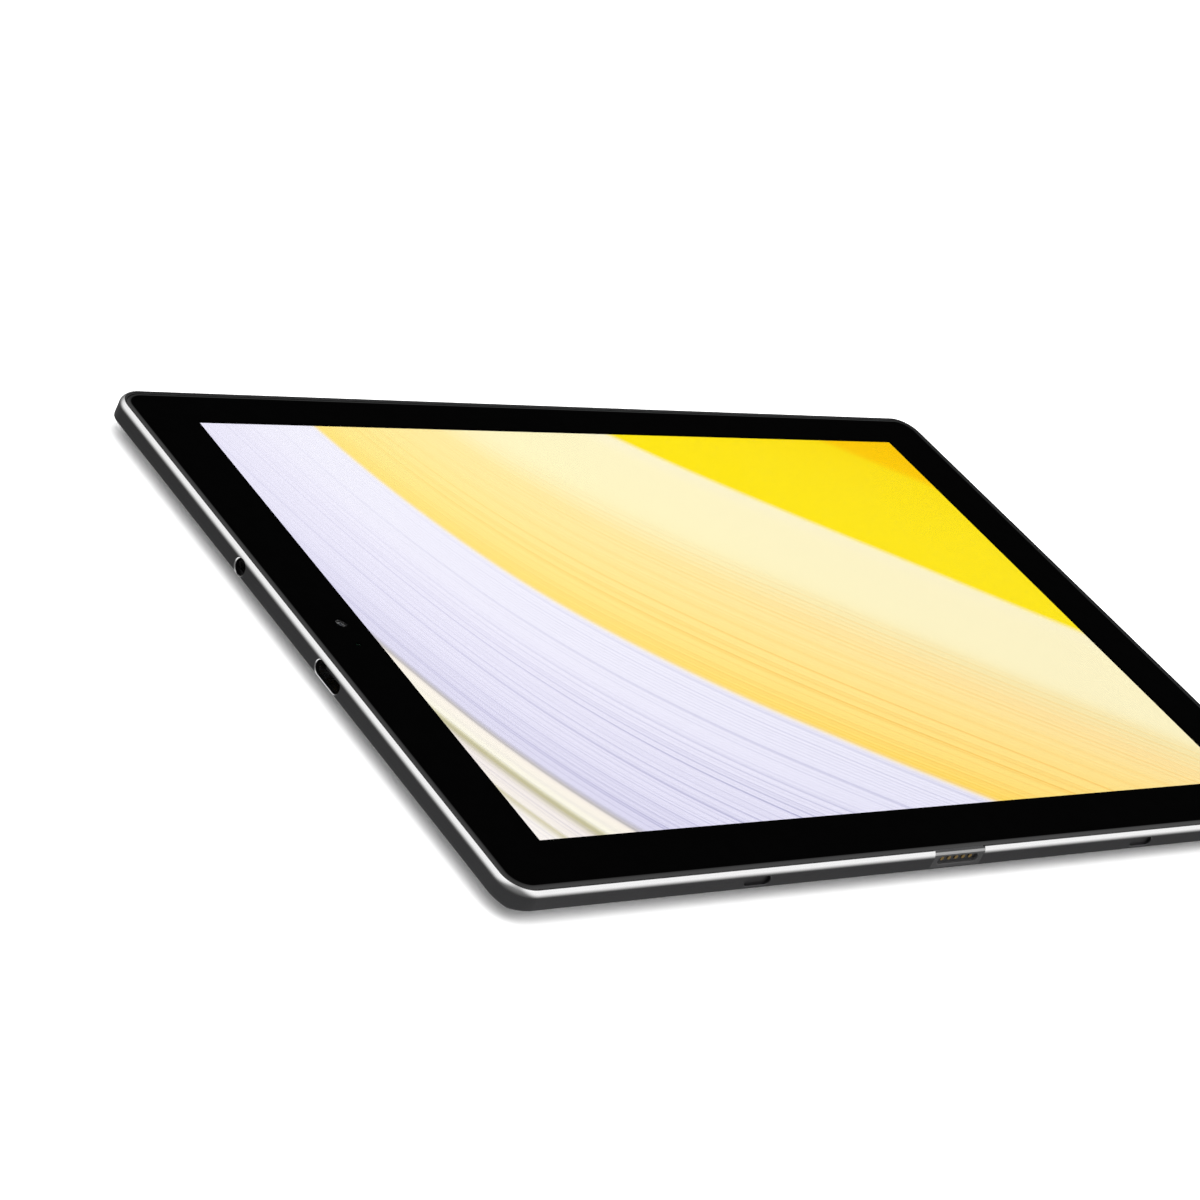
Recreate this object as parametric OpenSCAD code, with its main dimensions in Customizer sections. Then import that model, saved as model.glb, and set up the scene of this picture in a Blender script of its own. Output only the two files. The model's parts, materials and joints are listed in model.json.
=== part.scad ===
// Tablet computer with a 10.1 inch display, lying on its back.
// +Z is the way the screen faces, +X runs along the long side and +Y towards the picture's top.
// The origin is the centre of the flat back. The headphone and USB sockets open towards -X,
// the keyboard dock towards -Y, and the buttons and the card tray are on the +Y side.

/* [Body] */
// Long side of the body, along X
body_w = 249.6; // [248:0.2:252]
// Short side of the body, along Y
body_h = 161.3; // [160:0.1:163]
// Thickness of the whole tablet
body_t = 8; // [8:0.1:8.4]
// Radius of the body's corners, seen from the front
corner_r = 6.5; // [5.5:0.1:7.5]
// Height of the side wall's lower edge above the flat back
wall_z = 3.5; // [3.4:0.05:3.5]
// Width of the curved margin between the flat back and the side wall
margin = 30; // [28:0.5:32]
// Thickness of the metal back
back_skin = 0.8; // [0.7:0.05:0.8]
// Thickness of the metal side wall
side_skin = 1; // [0.9:0.05:1.1]
// Height and width of the bright cut edge round the front
lip_chamfer = 0.75; // [0.5:0.05:0.75]

/* [Display] */
// Width of the lit picture
screen_w = 216.96; // [216:0.02:217.5]
// Height of the lit picture
screen_h = 135.6; // [135:0.1:136]
// How far the picture's centre lies above the body's centre
screen_rise = 1.45; // [1:0.05:2]
// Distance of the cover glass's edge from the outside of the body
glass_inset = 1.35; // [1.35:0.05:1.6]
// Thickness of the cover glass
glass_t = 0.7; // [0.6:0.05:0.7]

/* [Sockets] */
// Place of the headphone socket along the left side
jack_y = 21.9; // [20:0.1:24]
// Height of the headphone socket's axis
jack_z = 5.35; // [5.33:0.01:5.38]
// Radius of the headphone socket's bore
jack_r = 1.78; // [1.76:0.01:1.79]
// Place of the USB-C socket along the left side
usb_y = -13.5; // [-15:0.1:-12]
// Height of the USB-C socket's centre
usb_z = 5.35; // [5.33:0.01:5.4]
// Place of the keyboard dock along the lower side
dock_x = -1.2; // [-2:0.1:2]
// Distance of each locating slot from the middle of the lower side
dock_slot_x = 60.3; // [58:0.1:64]

/* [Cameras] */
// Place of the front camera along X
front_camera_x = -114; // [-114.5:0.1:-113.5]
// Place of the rear camera along X
rear_camera_x = -116; // [-116.4:0.1:-115.6]
// Place of the rear camera along Y
rear_camera_y = 66.3; // [66:0.1:66.6]
// Radius of the rear camera's ring
rear_ring_r = 5.45; // [5.2:0.05:5.45]

/* [Buttons and tray] */
// Place of the power button along the upper side
power_x = -108; // [-108.5:0.1:-107]
// Place of the volume rocker along the upper side
volume_x = -84; // [-85:0.1:-82]
// How far the buttons stand out of the side
button_out = 0.35; // [0.2:0.05:0.4]
// Travel of the power button
power_travel = 0.3; // [0.2:0.05:0.3]
// Place of the card tray along the upper side
tray_x = 108; // [107.5:0.1:108.5]

/* [Hidden] */
$fn = 64;

// A little extra length, so that a cut passes right through
cut = 0.3;
half_w = body_w / 2;
half_h = body_h / 2;
crown_r = (margin * margin + wall_z * wall_z) / (2 * wall_z);
// Sides of the large circle that the back's margin is a short stretch of
crown_sides = 720;

// Heights in the stack, from the front down
glass_z = body_t - glass_t;
glass_drop = 0.28;
glass_run = 1.2;
border_t = 0.06;
border_z = glass_z - border_t;
adhesive_t = 0.16;
lcd_z = glass_z - adhesive_t;
lcd_t = 0.84;
films_t = 0.2;
films_z = lcd_z - lcd_t - films_t - 0.05;
guide_t = 0.45;
guide_z = films_z - guide_t - 0.05;
reflector_t = 0.07;
reflector_z = guide_z - reflector_t - 0.03;
tray_floor_t = 0.2;
tray_z = reflector_z - tray_floor_t - 0.05;
plate_t = 0.4;
plate_z = tray_z - plate_t - 0.05;
// Ribbons run just under the plate
ribbon_t = 0.1;
ribbon_z = plate_z - 0.22;

// Outline of the panel: its lower edge is wider, for the driver chips
lcd_side = 2.1;
lcd_top = 2;
lcd_bottom = 5;
lcd_w = screen_w + 2 * lcd_side;
lcd_h = screen_h + lcd_top + lcd_bottom;
lcd_y = screen_rise + (lcd_top - lcd_bottom) / 2;
tray_wall = 0.7;
tray_gap = 0.2;
display_w = lcd_w + 2 * (tray_wall + tray_gap);
display_h = lcd_h + 2 * (tray_wall + tray_gap);

// Plastic frame: its skirt lies against the side wall, its shelf carries the glass
frame_gap = 0.02;
frame_inset = side_skin + frame_gap;
skirt_t = 1.1;
shelf_w = 3.2;
shelf_t = 0.6;
bead_t = 0.26;
bead_z = 7.75;
under_shelf_z = border_z - shelf_t - 0.02;
socket_top_z = border_z - 0.02;

// Headphone socket
jack_sleeve_t = 0.22;
jack_sleeve_l = 1.2;
jack_front = 1.8;
jack_x0 = -half_w + jack_front;
jack_length = 10.9;
jack_body = [jack_length, 5.6, 3.8];
jack_floor_z = 3.4;
jack_mouth = 1.5;
// How far the two springs lie to each side of the bore's axis
jack_spring_y = 2.25;
jack_bore_l = 10.3;

// USB-C socket: the hole is a slot with round ends
usb_open_w = 8.94;
usb_open_h = 3.16;
usb_wall = 0.25;
usb_length = 9.2;
usb_gap = 0.06;
usb_tongue_w = 6.7;
usb_tongue_t = 0.7;
usb_pin = [0.24, 0.06, 4];
usb_back = -half_w + side_skin + usb_length;

// Keyboard dock
dock_w = 15.6;
dock_z0 = 3.95;
dock_depth = 2;
dock_recess = [12.4, 2, 0.9];
dock_recess_z = 5.85;
dock_pins = 5;
dock_pitch = 2.2;
dock_pin_r = 0.5;
dock_slot = [7.2, 2.2, 0.65];
dock_slot_z = 5.4;

// Antenna strip in the upper side
strip_half = 97.8;
strip_half_in = 95.6;
strip_depth = 8.7;
seam = 0.05;

// Rear camera
rear_ring_z = 0.75;
rear_ring_h = 2.6;
rear_ring_t = 0.65;
rear_window_z = 1.1;
rear_window_t = 0.6;

// Buttons
button_z = 5.35;
button_h = 2.1;
power_l = 9.6;
volume_l = 19.6;
button_gap = 0.09;
button_flange_t = 0.55;
button_stem_y = 78.55;
// Room between a key's flange and the wall; the rocker needs more, because its flange tilts
power_room = 0.1;
volume_room = 0.4;
flex_y = 77.3;
dome_gap = 0.06;

// Card tray
card_z = 4.25;
card_t = 0.8;
tray_body = [11.9, 19, card_t];
tray_face = [14, 2, 0.95];
tray_face_z = 4.85;
card_gap = 0.07;
pin_hole_r = 0.45;

// Speakers
speaker_y = 40;
speaker_size = [9.2, 32, 2.7];
speaker_z = 3.85;
grille_n = 9;
grille_pitch = 2;
grille_r = 0.6;
grille_z = 5.3;
mic_x = -116.6;
mic_hole_r = 0.45;

// Battery
cell_size = [90, 97, 3.6];
cell_gap = 2;
tape_t = 0.1;
cell_board_z = 1.3;
cell_board_t = 0.8;
cell_flex_z = 2.2;

// Main board
board_x0 = -117.3;
board_x1 = -96.5;
board_y0 = -60;
board_y1 = 56;
board_z = 2.86;
board_t = 0.8;
board_top = board_z + board_t;
chip_h = 0.6;
plug_h = 0.9;
can_h = 0.95;
can_wall = 0.12;
can_x = [-111.2, -99.1];

// Screws
screw_places = [
    [-88, 57], [0, 57], [88, 57], [-88, -57], [0, -57], [88, -57], [102, 22], [102, -22]
];
screw_r = 0.7;
screw_head_r = 1.3;
screw_head_t = 0.25;
screw_l = 3.2;
boss_r = 1.7;

magnet_places = [-85, -30, 30, 85];
carrier_places = [-42, 58];

// Plan outline with round corners, centred
module rounded_rect(w, h, r) {
    square([w - 2 * r, h], center = true);
    square([w, h - 2 * r], center = true);
    for (sx = [-1, 1], sy = [-1, 1])
        translate([sx * (w / 2 - r), sy * (h / 2 - r)])
            circle(r);
}

// The body's own outline, moved in from the outside
module body_outline(inset) {
    rounded_rect(body_w - 2 * inset, body_h - 2 * inset, corner_r - inset);
}

// Ring that follows the body's outline
module outline_ring(outer_inset, inner_inset, z0, z1) {
    translate([0, 0, z0])
        linear_extrude(z1 - z0)
            difference() {
                body_outline(outer_inset);
                body_outline(inner_inset);
            }
}

// Slot with round ends
module stadium(l, h) {
    square([l - h, h], center = true);
    for (s = [-1, 1])
        translate([s * (l - h) / 2, 0])
            circle(h / 2);
}

// Box given by its lowest and highest corners
module span(x, y, z) {
    translate([x[0], y[0], z[0]])
        cube([x[1] - x[0], y[1] - y[0], z[1] - z[0]]);
}

// The children's flat drawing stands on a side, with its own X level, and is extruded inwards
module on_left(y, z, inwards = 0) {
    translate([-half_w + inwards, y, z]) rotate([90, 0, 90]) children();
}

module on_right(y, z, inwards = 0) {
    translate([half_w - inwards, y, z]) rotate([90, 0, -90]) children();
}

module on_upper(x, z, inwards = 0) {
    translate([x, half_h - inwards, z]) rotate([90, 0, 0]) children();
}

module on_lower(x, z, inwards = 0) {
    translate([x, -half_h + inwards, z]) rotate([90, 0, 180]) children();
}

// A flat drawing swept round the body's outline; its X is measured outwards from the wall
module swept_round() {
    for (turn = [0, 180])
        rotate([0, 0, turn]) {
            translate([half_w, 0, 0]) rotate([90, 0, 0])
                linear_extrude(body_h - 2 * corner_r, center = true) children();
            translate([0, half_h, 0]) rotate([90, 0, 90])
                linear_extrude(body_w - 2 * corner_r, center = true) children();
        }
    for (i = [0 : 3])
        translate([
            (i == 0 || i == 3 ? 1 : -1) * (half_w - corner_r),
            (i < 2 ? 1 : -1) * (half_h - corner_r), 0
        ])
            rotate([0, 0, 90 * i])
                rotate_extrude(angle = 90)
                    translate([corner_r, 0])
                        children();
}

// Section of the back: flat in the middle, with an arc out to each side wall
module back_section(half, skin) {
    flat = half - margin;
    translate([-flat, skin])
        square([2 * flat, body_t]);
    for (s = [-1, 1])
        intersection() {
            translate([s * flat, crown_r])
                circle(crown_r - skin, $fn = crown_sides);
            translate([s > 0 ? flat : -half - cut, skin])
                square([margin + cut, body_t]);
        }
}

// The body's form, with its back moved in by skin and its sides by inset. The sections run on a
// little past the outline, so that the outline alone makes the side walls
module body_form(skin, inset, top) {
    intersection() {
        translate([0, 0, skin])
            linear_extrude(top - skin)
                body_outline(inset);
        rotate([90, 0, 0])
            linear_extrude(body_h + cut, center = true)
                back_section(half_w, skin);
        rotate([90, 0, 90])
            linear_extrude(body_w + cut, center = true)
                back_section(half_h, skin);
    }
}

// What the bright cut edge takes off, drawn from the wall outwards
module lip_cut() {
    reach = lip_chamfer + cut;
    polygon([[-reach, body_t + cut], [cut, body_t + cut], [cut, body_t - reach]]);
}

module metal_form() {
    difference() {
        body_form(0, 0, body_t);
        body_form(back_skin, side_skin, body_t + cut);
        swept_round() lip_cut();
    }
}

module antenna_region(gap) {
    linear_extrude(body_t + cut)
        polygon([
            [-strip_half + gap, half_h + cut], [-strip_half_in + gap, half_h - strip_depth + gap],
            [strip_half_in - gap, half_h - strip_depth + gap], [strip_half - gap, half_h + cut]
        ]);
}

module button_hole(x, l) {
    on_upper(x, button_z, -cut)
        linear_extrude(side_skin + 2 * cut)
            stadium(l + 2 * button_gap, button_h + 2 * button_gap);
}

module usb_hole(gap, l) {
    linear_extrude(l)
        stadium(usb_open_w + 2 * (usb_wall + gap), usb_open_h + 2 * (usb_wall + gap));
}

module dock_region(gap) {
    on_lower(dock_x, 0, -cut)
        translate([0, (dock_z0 - gap + body_t + cut) / 2])
            linear_extrude(dock_depth + cut + gap)
                square([dock_w + 2 * gap, body_t + cut - dock_z0 + gap], center = true);
}

// Aluminium back and sides, cut from one piece
module rear_shell() {
    color("dimgray") {
        difference() {
            metal_form();
            antenna_region(0);
            // headphone socket: the hole, then room for its body in the floor
            on_left(jack_y, jack_z, -cut)
                cylinder(r = jack_r + 0.01, h = 3);
            span(
                [jack_x0 - 0.05, -half_w + 7], [jack_y - 2.85, jack_y + 2.85],
                [jack_floor_z - 0.02, body_t]
            );
            // USB-C socket
            on_left(usb_y, usb_z, -cut)
                linear_extrude(side_skin + 2 * cut)
                    stadium(usb_open_w, usb_open_h);
            on_left(usb_y, usb_z, side_skin - 0.4)
                usb_hole(usb_gap, 7);
            // keyboard dock with its two locating slots
            dock_region(seam);
            for (s = [-1, 1])
                on_lower(s * dock_slot_x, dock_slot_z, -cut)
                    linear_extrude(dock_slot[2] + cut)
                        stadium(dock_slot[0], dock_slot[1]);
            button_hole(power_x, power_l);
            // card tray: the face's seat, then the slot for the tray behind it
            on_upper(tray_x, tray_face_z, -cut)
                linear_extrude(side_skin + 2 * cut)
                    stadium(tray_face[0] + 2 * card_gap, tray_face[1] + 2 * card_gap);
            on_upper(tray_x, card_z)
                linear_extrude(7.4)
                    square([tray_body[0] + 2 * card_gap, card_t + 2 * card_gap], center = true);
            // sound holes
            for (s = [-1, 1], i = [0 : grille_n - 1])
                on_right(s * speaker_y + (i - (grille_n - 1) / 2) * grille_pitch, grille_z, -cut)
                    cylinder(r = grille_r, h = side_skin + 2 * cut);
            on_upper(mic_x, grille_z, -cut)
                cylinder(r = mic_hole_r, h = side_skin + 2 * cut);
            translate([rear_camera_x, rear_camera_y, -cut])
                cylinder(r = rear_ring_r + seam, h = body_t);
        }
        // posts that take the frame's screws
        for (p = screw_places)
            translate([p[0], p[1], back_skin / 2])
                difference() {
                    cylinder(r = boss_r, h = plate_z - back_skin / 2);
                    translate([0, 0, plate_z - back_skin / 2 - screw_l])
                        cylinder(r = screw_r, h = screw_l + cut);
                }
    }
}

// Plastic strip that lets the radio signals out
module antenna_cap() {
    color("#2b2b2d")
        difference() {
            intersection() {
                metal_form();
                antenna_region(seam);
            }
            button_hole(volume_x, volume_l);
        }
}

// Openings through the frame's plate and shelf, from the front down
module frame_windows() {
    // sockets, front camera and rear camera, on the left
    span([-half_w, -112], [jack_y - 3.1, jack_y + 3.1], [plate_z - cut, socket_top_z]);
    span([-half_w, -112], [usb_y - 5.3, usb_y + 5.3], [plate_z - cut, socket_top_z]);
    span([-118, -110.2], [-4.6, 4.6], [plate_z - cut, body_t]);
    span([-121.4, -110.4], [60.6, 71.9], [plate_z - cut, border_z - shelf_t - 0.1]);
    // speakers, on the right
    for (s = [-1, 1])
        span([112, half_w], [s * speaker_y - 16.4, s * speaker_y + 16.4], [plate_z - cut, under_shelf_z]);
    // card reader
    span([100.6, 115.4], [59, 73.6], [plate_z - cut, plate_z + plate_t + cut]);
    // buttons and the switches behind them
    span([-118, -70.5], [76.7, half_h], [plate_z - cut, under_shelf_z]);
    // dock
    span([dock_x - 8.4, dock_x + 8.4], [-half_h, -77.2], [plate_z - cut, body_t + cut]);
    // display ribbon
    span([-53, -39], [-74.2, -72.6], [plate_z - cut, under_shelf_z]);
}

// Inner frame: a plate under the display, a skirt, a shelf under the glass and a thin bead
module mid_frame() {
    color("#1c1c1e")
        difference() {
            union() {
                translate([0, 0, plate_z])
                    linear_extrude(plate_t)
                        body_outline(frame_inset + skirt_t / 2);
                outline_ring(frame_inset, frame_inset + skirt_t, plate_z, border_z);
                outline_ring(frame_inset + skirt_t / 2, frame_inset + shelf_w, border_z - shelf_t, border_z);
                outline_ring(frame_inset, frame_inset + bead_t, border_z - cut, bead_z);
            }
            frame_windows();
            for (p = screw_places)
                translate([p[0], p[1], plate_z - cut]) {
                    cylinder(r = screw_r + 0.1, h = 2 * cut + plate_t);
                    translate([0, 0, cut + plate_t - screw_head_t])
                        cylinder(r = screw_head_r + 0.05, h = screw_head_t + cut);
                }
        }
}

// What the falling edge takes off the glass, drawn from the side wall outwards
module glass_edge_cut() {
    slope = glass_drop / glass_run;
    polygon([
        [-glass_inset - glass_run - cut, body_t + slope * cut], [cut, body_t + slope * cut],
        [cut, body_t - glass_drop - slope * (glass_inset + cut)]
    ]);
}

// Cover glass with the touch sensor in it; its edge falls away a little all round
module cover_glass() {
    color("lightblue", 0.4)
        difference() {
            translate([0, 0, glass_z])
                linear_extrude(glass_t)
                    body_outline(glass_inset);
            swept_round() glass_edge_cut();
        }
}

// Black border printed under the glass, with a window for the picture and two for the sensors
module printed_border() {
    color("#050505")
        difference() {
            translate([0, 0, border_z])
                linear_extrude(border_t)
                    body_outline(glass_inset + 0.05);
            translate([0, screen_rise, border_z])
                cube([screen_w + 0.6, screen_h + 0.6, 1], center = true);
            translate([front_camera_x, 0, border_z - cut])
                cylinder(r = 1.35, h = 1);
            translate([front_camera_x, -7, border_z - cut])
                cylinder(r = 0.6, h = 1);
        }
}

module optical_adhesive() {
    color("white", 0.2)
        translate([0, screen_rise, lcd_z + adhesive_t / 2])
            cube([screen_w + 0.5, screen_h + 0.5, adhesive_t - 0.01], center = true);
}

// A flat rectangular layer of the display
module display_layer(w, h, z, t) {
    translate([-w / 2, lcd_y - h / 2, z])
        cube([w, h, t]);
}

module lcd_panel() {
    color("#b9b4e6") display_layer(lcd_w, lcd_h, lcd_z - lcd_t, lcd_t);
}

module prism_films() {
    color("white") display_layer(lcd_w - 1, lcd_h - 4, films_z, films_t);
}

module light_guide() {
    color("azure") display_layer(lcd_w - 1, lcd_h - 6, guide_z, guide_t);
}

module reflector() {
    color("silver") display_layer(lcd_w - 0.6, lcd_h - 4, reflector_z, reflector_t);
}

// Row of lamps along the lower edge of the light guide
module led_bar() {
    lamps = 36;
    lamp_pitch = (lcd_w - 20) / (lamps - 1);
    y0 = lcd_y - lcd_h / 2 + 0.5;
    color("khaki") {
        translate([-lcd_w / 2 + 4, y0, guide_z])
            cube([lcd_w - 8, 0.8, guide_t]);
        for (i = [0 : lamps - 1])
            translate([-lcd_w / 2 + 10 + i * lamp_pitch - 1.5, y0 + 0.8, guide_z])
                cube([3, 0.8, guide_t - 0.05]);
    }
}

// Steel tray that holds the layers together
module display_tray() {
    color("gainsboro")
        difference() {
            display_layer(display_w, display_h, tray_z, lcd_z - 0.1 - tray_z);
            display_layer(lcd_w + 2 * tray_gap, lcd_h + 2 * tray_gap, tray_z + tray_floor_t, 4);
        }
}

// Ribbon from the panel's lower edge, down beside the tray and along to the main board
module display_flex() {
    color("#c07a2c") {
        span([-52, -40], [-73.5, -73.3], [ribbon_z, lcd_z - 0.64]);
        span([-52, -40], [-73.5, -60], [ribbon_z, ribbon_z + ribbon_t]);
        span([-108, -46], [-68, -60.5], [ribbon_z, ribbon_z + ribbon_t]);
        span([-108, -98], [-68, -56.5], [ribbon_z, ribbon_z + ribbon_t]);
    }
}

module battery_cell(x) {
    color("#202226")
        translate([x, -cell_size[1] / 2, back_skin + tape_t])
            cube(cell_size);
}

module battery_cell_left() {
    battery_cell(-cell_size[0] - cell_gap / 2);
}

module battery_cell_right() {
    battery_cell(cell_gap / 2);
}

module battery_tape() {
    strip = 14;
    color("ivory")
        for (side = [-1, 1], i = [-1, 1])
            translate([side * (cell_size[0] + cell_gap) / 2 + i * 26 - strip / 2, -40, back_skin])
                cube([strip, 80, tape_t]);
}

// Protection circuit along the cells' upper ends
module battery_board() {
    color("darkgreen") {
        span([-88, 84], [49.2, 52.4], [cell_board_z, cell_board_z + cell_board_t]);
        for (x = [-70 : 28 : 70])
            span([x, x + 6], [49.6, 52], [cell_board_z + cell_board_t, 3]);
    }
}

module battery_flex() {
    color("#c07a2c") {
        span([-95, -82], [49.4, 52.2], [cell_flex_z, cell_flex_z + 0.15]);
        span([-101, -94.9], [49.4, 52.2], [board_top + plug_h, board_top + plug_h + ribbon_t]);
        span([-95.05, -94.9], [49.4, 52.2], [cell_flex_z, board_top + plug_h + ribbon_t]);
        span([-101, -97.2], [49.2, 52.4], [board_top, board_top + plug_h]);
    }
}

module main_board() {
    color("#0f3d26")
        difference() {
            span([board_x0, board_x1], [board_y0, board_y1], [board_z, board_top]);
            span([board_x0 - 1, -111.6], [jack_y - 3.1, jack_y + 3.1], [0, body_t]);
            span([board_x0 - 1, usb_back + 0.1], [usb_y - 4.9, usb_y + 4.9], [0, body_t]);
            for (y = [-15, 40])
                translate([-98.5, y, board_z - cut])
                    cylinder(r = 0.9, h = board_t + 2 * cut);
        }
}

module processor() {
    color("#17181a") span([-110, -99.5], [33, 43.5], [board_top, board_top + 0.7]);
}

module memory_chips() {
    color("#1b1c1f")
        for (y = [27.6, 44.6])
            span([-109, -100], [y, y + 3.9], [board_top, board_top + chip_h]);
}

module power_chip() {
    color("#1b1c1f") span([-107, -101], [-40, -34], [board_top, board_top + chip_h]);
}

// Sheet-metal can over a group of chips
module shield_can(y0, y1) {
    color("silver")
        difference() {
            span([can_x[0], can_x[1] + can_wall], [y0, y1], [board_top, board_top + can_h]);
            span(
                [can_x[0] + can_wall, can_x[1]], [y0 + can_wall, y1 - can_wall],
                [board_top - cut, board_top + can_h - can_wall]
            );
        }
}

module shield_can_upper() {
    shield_can(27, 49);
}

module shield_can_lower() {
    shield_can(-50, -24);
}

module thermal_pad() {
    color("lightpink") span([-109.5, -100], [33.5, 43], [board_top + can_h + 0.01, plate_z - 0.01]);
}

// Metal shell of the USB-C socket
module usb_shell() {
    color("silver")
        on_left(usb_y, usb_z, side_skin)
            difference() {
                usb_hole(0, usb_length);
                translate([0, 0, -cut])
                    linear_extrude(usb_length + 2 * cut)
                        stadium(usb_open_w, usb_open_h);
            }
}

// Plastic block at the back of the socket, with the tongue that carries the contacts
module usb_tongue() {
    color("#26262a") {
        on_left(usb_y, usb_z, side_skin + usb_length - 2.4)
            linear_extrude(2.4)
                stadium(usb_open_w - 0.1, usb_open_h - 0.1);
        on_left(usb_y, usb_z, side_skin + 0.9)
            translate([-usb_tongue_w / 2, -usb_tongue_t / 2, 0])
                cube([usb_tongue_w, usb_tongue_t, usb_length - 3]);
    }
}

module usb_contacts() {
    pins = 12;
    pitch = 0.5;
    color("gold")
        for (side = [-1, 1], i = [0 : pins - 1])
            on_left(usb_y, usb_z, side_skin + 1.3)
                translate([
                    (i - (pins - 1) / 2) * pitch - usb_pin[0] / 2,
                    side > 0 ? usb_tongue_t / 2 : -usb_tongue_t / 2 - usb_pin[1], 0
                ])
                    cube(usb_pin);
}

module jack_block() {
    translate([jack_x0, jack_y - jack_body[1] / 2, jack_floor_z])
        cube(jack_body);
}

// Body of the headphone socket, with the bore for the plug
module jack_housing() {
    color("#2a2a2e")
        difference() {
            jack_block();
            on_left(jack_y, jack_z, jack_mouth)
                cylinder(r = jack_r, h = jack_bore_l + jack_front - jack_mouth);
            on_left(jack_y, jack_z, jack_mouth)
                cylinder(r = jack_r + jack_sleeve_t, h = jack_sleeve_l + jack_front - jack_mouth);
            for (s = [-1, 1])
                translate([0, s * jack_spring_y, 0])
                    span([jack_x0 + 3, jack_x0 + 9.6], [jack_y - 0.3, jack_y + 0.3], [4.6, 7.5]);
        }
}

// Metal barrel at the socket's mouth, with a flat above and below, where the block is thinner than it
module jack_sleeve() {
    color("gainsboro")
        intersection() {
            jack_block();
            on_left(jack_y, jack_z, jack_mouth)
                difference() {
                    cylinder(r = jack_r + jack_sleeve_t, h = jack_sleeve_l + jack_front - jack_mouth);
                    translate([0, 0, -cut])
                        cylinder(r = jack_r, h = jack_sleeve_l + 3 * cut);
                }
        }
}

module jack_springs() {
    color("gold")
        for (s = [-1, 1])
            translate([0, s * jack_spring_y, 0])
                span([jack_x0 + 3.2, jack_x0 + 9.4], [jack_y - 0.12, jack_y + 0.12], [4.7, 7]);
}

module front_camera() {
    color("#141416") {
        span([front_camera_x - 2.4, front_camera_x + 2.4], [-2.8, 2.8], [board_top, 5.6]);
        translate([front_camera_x, 0, 5.6])
            difference() {
                cylinder(r = 2.2, h = 1.45);
                translate([0, 0, 0.9]) cylinder(r = 1.3, h = 1);
            }
    }
}

module front_lens() {
    color("slategray")
        translate([front_camera_x, 0, 6.52]) {
            cylinder(r = 1.25, h = 0.4);
            translate([0, 0, 0.4]) cylinder(r = 0.8, h = 0.15);
        }
}

module light_sensor() {
    color("#3a3540") span([front_camera_x - 1, front_camera_x + 1], [-8, -6], [board_top, 4.5]);
}

module rear_camera_ring() {
    color("gray")
        translate([rear_camera_x, rear_camera_y, rear_ring_z])
            difference() {
                cylinder(r = rear_ring_r, h = rear_ring_h);
                translate([0, 0, -cut])
                    cylinder(r = rear_ring_r - rear_ring_t, h = rear_ring_h + 2 * cut);
                // bevel inside the rim
                translate([0, 0, -cut])
                    cylinder(r1 = rear_ring_r - 0.2 + cut, r2 = rear_ring_r - rear_ring_t, h = 0.35 + cut);
            }
}

module rear_camera_window() {
    color("#0c0c10")
        translate([rear_camera_x, rear_camera_y, rear_window_z])
            cylinder(r = rear_ring_r - rear_ring_t - 0.02, h = rear_window_t);
}

module rear_camera_module() {
    z0 = rear_window_z + rear_window_t + 0.1;
    color("#18181b")
        translate([rear_camera_x, rear_camera_y, z0]) {
            difference() {
                cylinder(r = 3.3, h = 2);
                translate([0, 0, -cut]) cylinder(r1 = 3, r2 = 1.9, h = 1 + cut);
            }
            translate([-4.4, -4.4, 2]) cube([8.8, 8.8, 2.3]);
        }
}

module rear_camera_lens() {
    color("midnightblue")
        translate([rear_camera_x, rear_camera_y, rear_window_z + rear_window_t + 0.62])
            cylinder(r = 1.9, h = 0.45);
}

module microphone() {
    color("silver") {
        on_upper(mic_x, grille_z, side_skin + 0.05)
            difference() {
                translate([-1.4, -1.1, 0]) cube([2.8, 2.2, 1]);
                translate([0, 0, -cut]) cylinder(r = 0.4, h = 0.8);
            }
    }
}

module speaker(y) {
    color("#202023")
        difference() {
            translate([half_w - 12.4, y - speaker_size[1] / 2, speaker_z])
                cube(speaker_size);
            // sound duct behind the grille
            span([half_w - 4.6, half_w - 3], [y - 9, y + 9], [4.4, 6]);
            translate([half_w - 8.5, y, speaker_z + speaker_size[2] - 0.4])
                cylinder(r = 3, h = 1);
        }
}

module speaker_upper() {
    speaker(speaker_y);
}

module speaker_lower() {
    speaker(-speaker_y);
}

module speaker_mesh() {
    color("#111113")
        for (s = [-1, 1])
            on_right(s * speaker_y, grille_z, side_skin + 0.05)
                translate([-9.3, -0.9, 0])
                    cube([18.6, 1.8, 0.15]);
}

// A key with a flange behind the wall; stems press the switches
module key(l, room, stems) {
    back = side_skin + room;
    on_upper(0, 0, -button_out)
        linear_extrude(button_out + back + 0.1)
            stadium(l, button_h);
    on_upper(0, 0, back)
        linear_extrude(button_flange_t)
            square([l + 1.4, button_h + 0.2], center = true);
    for (x = stems)
        on_upper(x, 0, back + button_flange_t)
            cylinder(r = 0.6, h = half_h - back - button_flange_t - button_stem_y);
}

module power_button() {
    color("#3c3c40") translate([power_x, 0, button_z]) key(power_l, power_room, [0]);
}

module volume_rocker() {
    color("#3c3c40") translate([volume_x, 0, button_z]) key(volume_l, volume_room, [-6, 6]);
}

// Ribbon with the three dome switches behind the keys
module key_flex() {
    color("#c07a2c") {
        span([-115.4, -72], [flex_y, flex_y + 0.12], [4.3, 6.4]);
        span([-112, -106], [74.6, flex_y], [4.3, 4.42]);
    }
    color("silver")
        for (x = [power_x, volume_x - 6, volume_x + 6])
            translate([x, flex_y + 0.12, button_z])
                rotate([-90, 0, 0])
                    cylinder(r = 1.1, h = button_stem_y - power_travel - dome_gap - flex_y - 0.12);
}

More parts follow.
